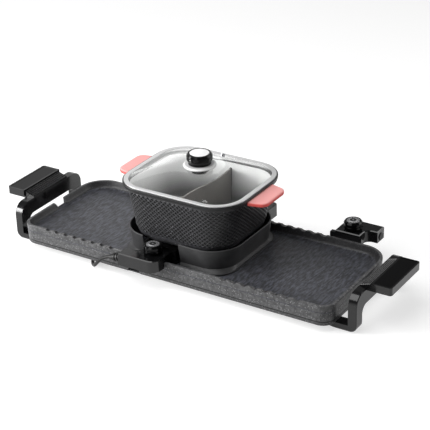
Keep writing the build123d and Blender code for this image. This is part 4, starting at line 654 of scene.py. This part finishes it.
wall.offset = -1.0


# ================================================================ marks printed on the dials
ring_radii = ((11.8, 13.0), (1.6, 6.4))      # round the printed band; on the raised middle
dial_step, print_lift = 0.6, 0.05
tick_width, tick_length, tick_radius = 1.2, 3.6, 10.0
number_size, number_weight, number_radius = 5.2, 0.18, 10.1
number_count, front_angle, number_step = 6, 180, 54


def dial_marks(name, centre_x, centre_y, top_z, body):
    """Rings, ticks and the numbers 0 to 5, printed on a dial plate. The 0 stands at the front."""
    middle = place(centre_x, centre_y, top_z - dial_step + print_lift)
    bm = bmesh.new()
    for (inner, outer), rise in zip(ring_radii, (0, dial_step)):
        ring = bmesh.ops.create_circle(bm, segments=64, radius=outer * MM)["verts"]
        hole = bmesh.ops.create_circle(bm, segments=64, radius=inner * MM)["verts"]
        bmesh.ops.translate(bm, vec=(0, 0, rise * MM), verts=ring + hole)
        rims = {edge for vert in ring + hole for edge in vert.link_edges}
        bmesh.ops.bridge_loops(bm, edges=list(rims))
    for number in range(number_count):
        angle = math.radians(front_angle + number_step * (number + 0.5))
        tick = bmesh.ops.create_grid(bm, x_segments=1, y_segments=1, size=0.5)["verts"]
        bmesh.ops.scale(bm, vec=(tick_width * MM, tick_length * MM, 1), verts=tick)
        bmesh.ops.translate(bm, vec=(0, tick_radius * MM, 0), verts=tick)
        bmesh.ops.rotate(bm, matrix=Matrix.Rotation(angle, 3, "Z"), verts=tick)
    bmesh.ops.translate(bm, vec=middle, verts=bm.verts)
    bmesh.ops.recalc_face_normals(bm, faces=bm.faces)
    if bm.faces[0].normal.z < 0:
        bmesh.ops.reverse_faces(bm, faces=bm.faces[:])
    for number in range(number_count):
        text = bpy.data.curves.new(f"{name}_{number}", "FONT")
        text.body = str(number)
        text.size = number_size * MM
        text.offset = number_weight * MM
        text.align_x, text.align_y = "CENTER", "CENTER"
        flat = bpy.data.objects.new(f"{name}_{number}", text)
        letters = bpy.data.meshes.new_from_object(flat)
        bpy.data.objects.remove(flat)
        turn = Matrix.Rotation(math.radians(front_angle + number_step * number), 4, "Z")
        letters.transform(Matrix.Translation(middle) @ turn @ Matrix.Translation((0, number_radius * MM, 0)))
        bm.from_mesh(letters)
        bpy.data.meshes.remove(letters)
    piece(name, bm, dial_ink, body, smooth=False)


for side, centre in dial_centres.items():
    plate_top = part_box(f"{side}_dial_plate")[1][2] / MM
    dial_marks(f"{side}_dial_marks", *centre, plate_top, f"{side}_dial")

# ================================================================ ribs on the handles' sloping strips
rib_count, rib_thickness, rib_length, rib_round = 5, 2.2, 100.0, 0.5
strip_x, strip_z = 355.0, 73.3               # the strip's inner edge
strip_run, strip_rise, strip_slope = 21.0, 6.5, 17.6
for side, name in ((-1, "left"), (1, "right")):
    bm = bmesh.new()
    for rib in range(rib_count):
        share = (rib + 0.5) / rib_count
        bar = bmesh.ops.create_cube(bm, size=1.0)["verts"]
        bmesh.ops.scale(bm, vec=(rib_thickness * MM, rib_length * MM, rib_thickness * MM), verts=bar)
        bmesh.ops.rotate(bm, matrix=Matrix.Rotation(side * math.radians(-strip_slope), 3, "Y"), verts=bar)
        on_strip = place(side * (strip_x + strip_run * share), 0, strip_z + strip_rise * share)
        bmesh.ops.translate(bm, vec=on_strip, verts=bar)
    bmesh.ops.bevel(bm, geom=bm.edges[:], offset=rib_round * MM, affect="EDGES", segments=2, profile=0.5,
                    material=-1)
    piece(f"{name}_strip_ribs", bm, satin_phenolic, "base")

# ================================================================ floor, lights and world
def shown_white(tree, value=None):
    """The value, or 1 where a ray from the camera arrives directly, off a shiny surface or through glass."""
    path = add_node(tree, "ShaderNodeLightPath")
    for ray in ("Is Camera Ray", "Is Glossy Ray", "Is Transmission Ray"):
        larger = add_node(tree, "ShaderNodeMath", {"operation": "MAXIMUM", 1: 0.0}, {0: path.outputs[ray]})
        if value is not None:
            tree.links.new(value, larger.inputs[1])
        value = larger.outputs[0]
    return value


floor_size, floor_drop = 40.0, 0.0002
bpy.ops.mesh.primitive_plane_add(size=floor_size, location=(0, 0, -floor_drop))
studio_floor = bpy.context.object
studio_floor.name = "studio_floor"
# The paper's own glow brings what the camera sees of it up to white, and casts no light on the object.
floor_glow = 0.62
floor_paper, tree, surface = new_material("pale_floor_paper", Roughness=0.9, Specular_IOR_Level=0.0,
                                          Base_Color=colour("#BEBEBE"))
surface.inputs["Emission Color"].default_value = (1, 1, 1, 1)
glow = add_node(tree, "ShaderNodeMath", {"operation": "MULTIPLY", 1: floor_glow}, {0: shown_white(tree)})
tree.links.new(glow.outputs[0], surface.inputs["Emission Strength"])
studio_floor.data.materials.append(floor_paper)

# A white studio wall all round up to a little above the table, and a dim ceiling. On the right a dark card
# keeps the wall's light off the object, but not its reflection.
wall_top = {"From Min": 0.12, "From Max": 0.34, "To Min": 1.0, "To Max": 0.16}
card_edge = {"From Min": -0.2, "From Max": 0.6, "To Min": 1.0, "To Max": 0.05}
world = bpy.data.worlds.new("studio")
bpy.context.scene.world = world
world.use_nodes = True
tree = world.node_tree
tree.nodes.clear()
looking = add_node(tree, "ShaderNodeTexCoord").outputs["Generated"]
direction = add_node(tree, "ShaderNodeSeparateXYZ", links={"Vector": looking})
wall_or_ceiling = add_node(tree, "ShaderNodeMapRange", wall_top, {"Value": direction.outputs["Z"]})
card = add_node(tree, "ShaderNodeMapRange", card_edge, {"Value": direction.outputs["X"]})
strength = add_node(tree, "ShaderNodeMath", {"operation": "MULTIPLY"},
                    {0: wall_or_ceiling.outputs["Result"], 1: shown_white(tree, card.outputs["Result"])})
backdrop = add_node(tree, "ShaderNodeBackground", {"Color": (1, 1, 1, 1)}, {"Strength": strength.outputs[0]})
add_node(tree, "ShaderNodeOutputWorld", links={"Surface": backdrop.outputs[0]})

# Each softbox: where it stands, what it is aimed at, its side in metres and its power in watts.
for name, position, target, size, power in (
    ("top_softbox", (-0.35, -0.7, 1.6), (0, 0, 0.1), 1.5, 24.0),
    ("front_softbox", (-1.7, -1.2, 0.6), (-0.2, 0, 0.05), 0.9, 60.0),
    ("back_softbox", (-1.5, 1.5, 0.9), (-0.2, 0, 0.1), 1.3, 3.5),
    ("side_softbox", (1.6, 1.4, 1.0), (0.1, 0, 0.1), 1.2, 17.0),
):
    light = bpy.data.lights.new(name, "AREA")
    light.size = size
    light.energy = power
    lamp = bpy.data.objects.new(name, light)
    lamp.location = position
    lamp.rotation_euler = (Vector(target) - Vector(position)).to_track_quat("-Z", "Y").to_euler()
    bpy.context.scene.collection.objects.link(lamp)

bpy.context.view_layer.update()
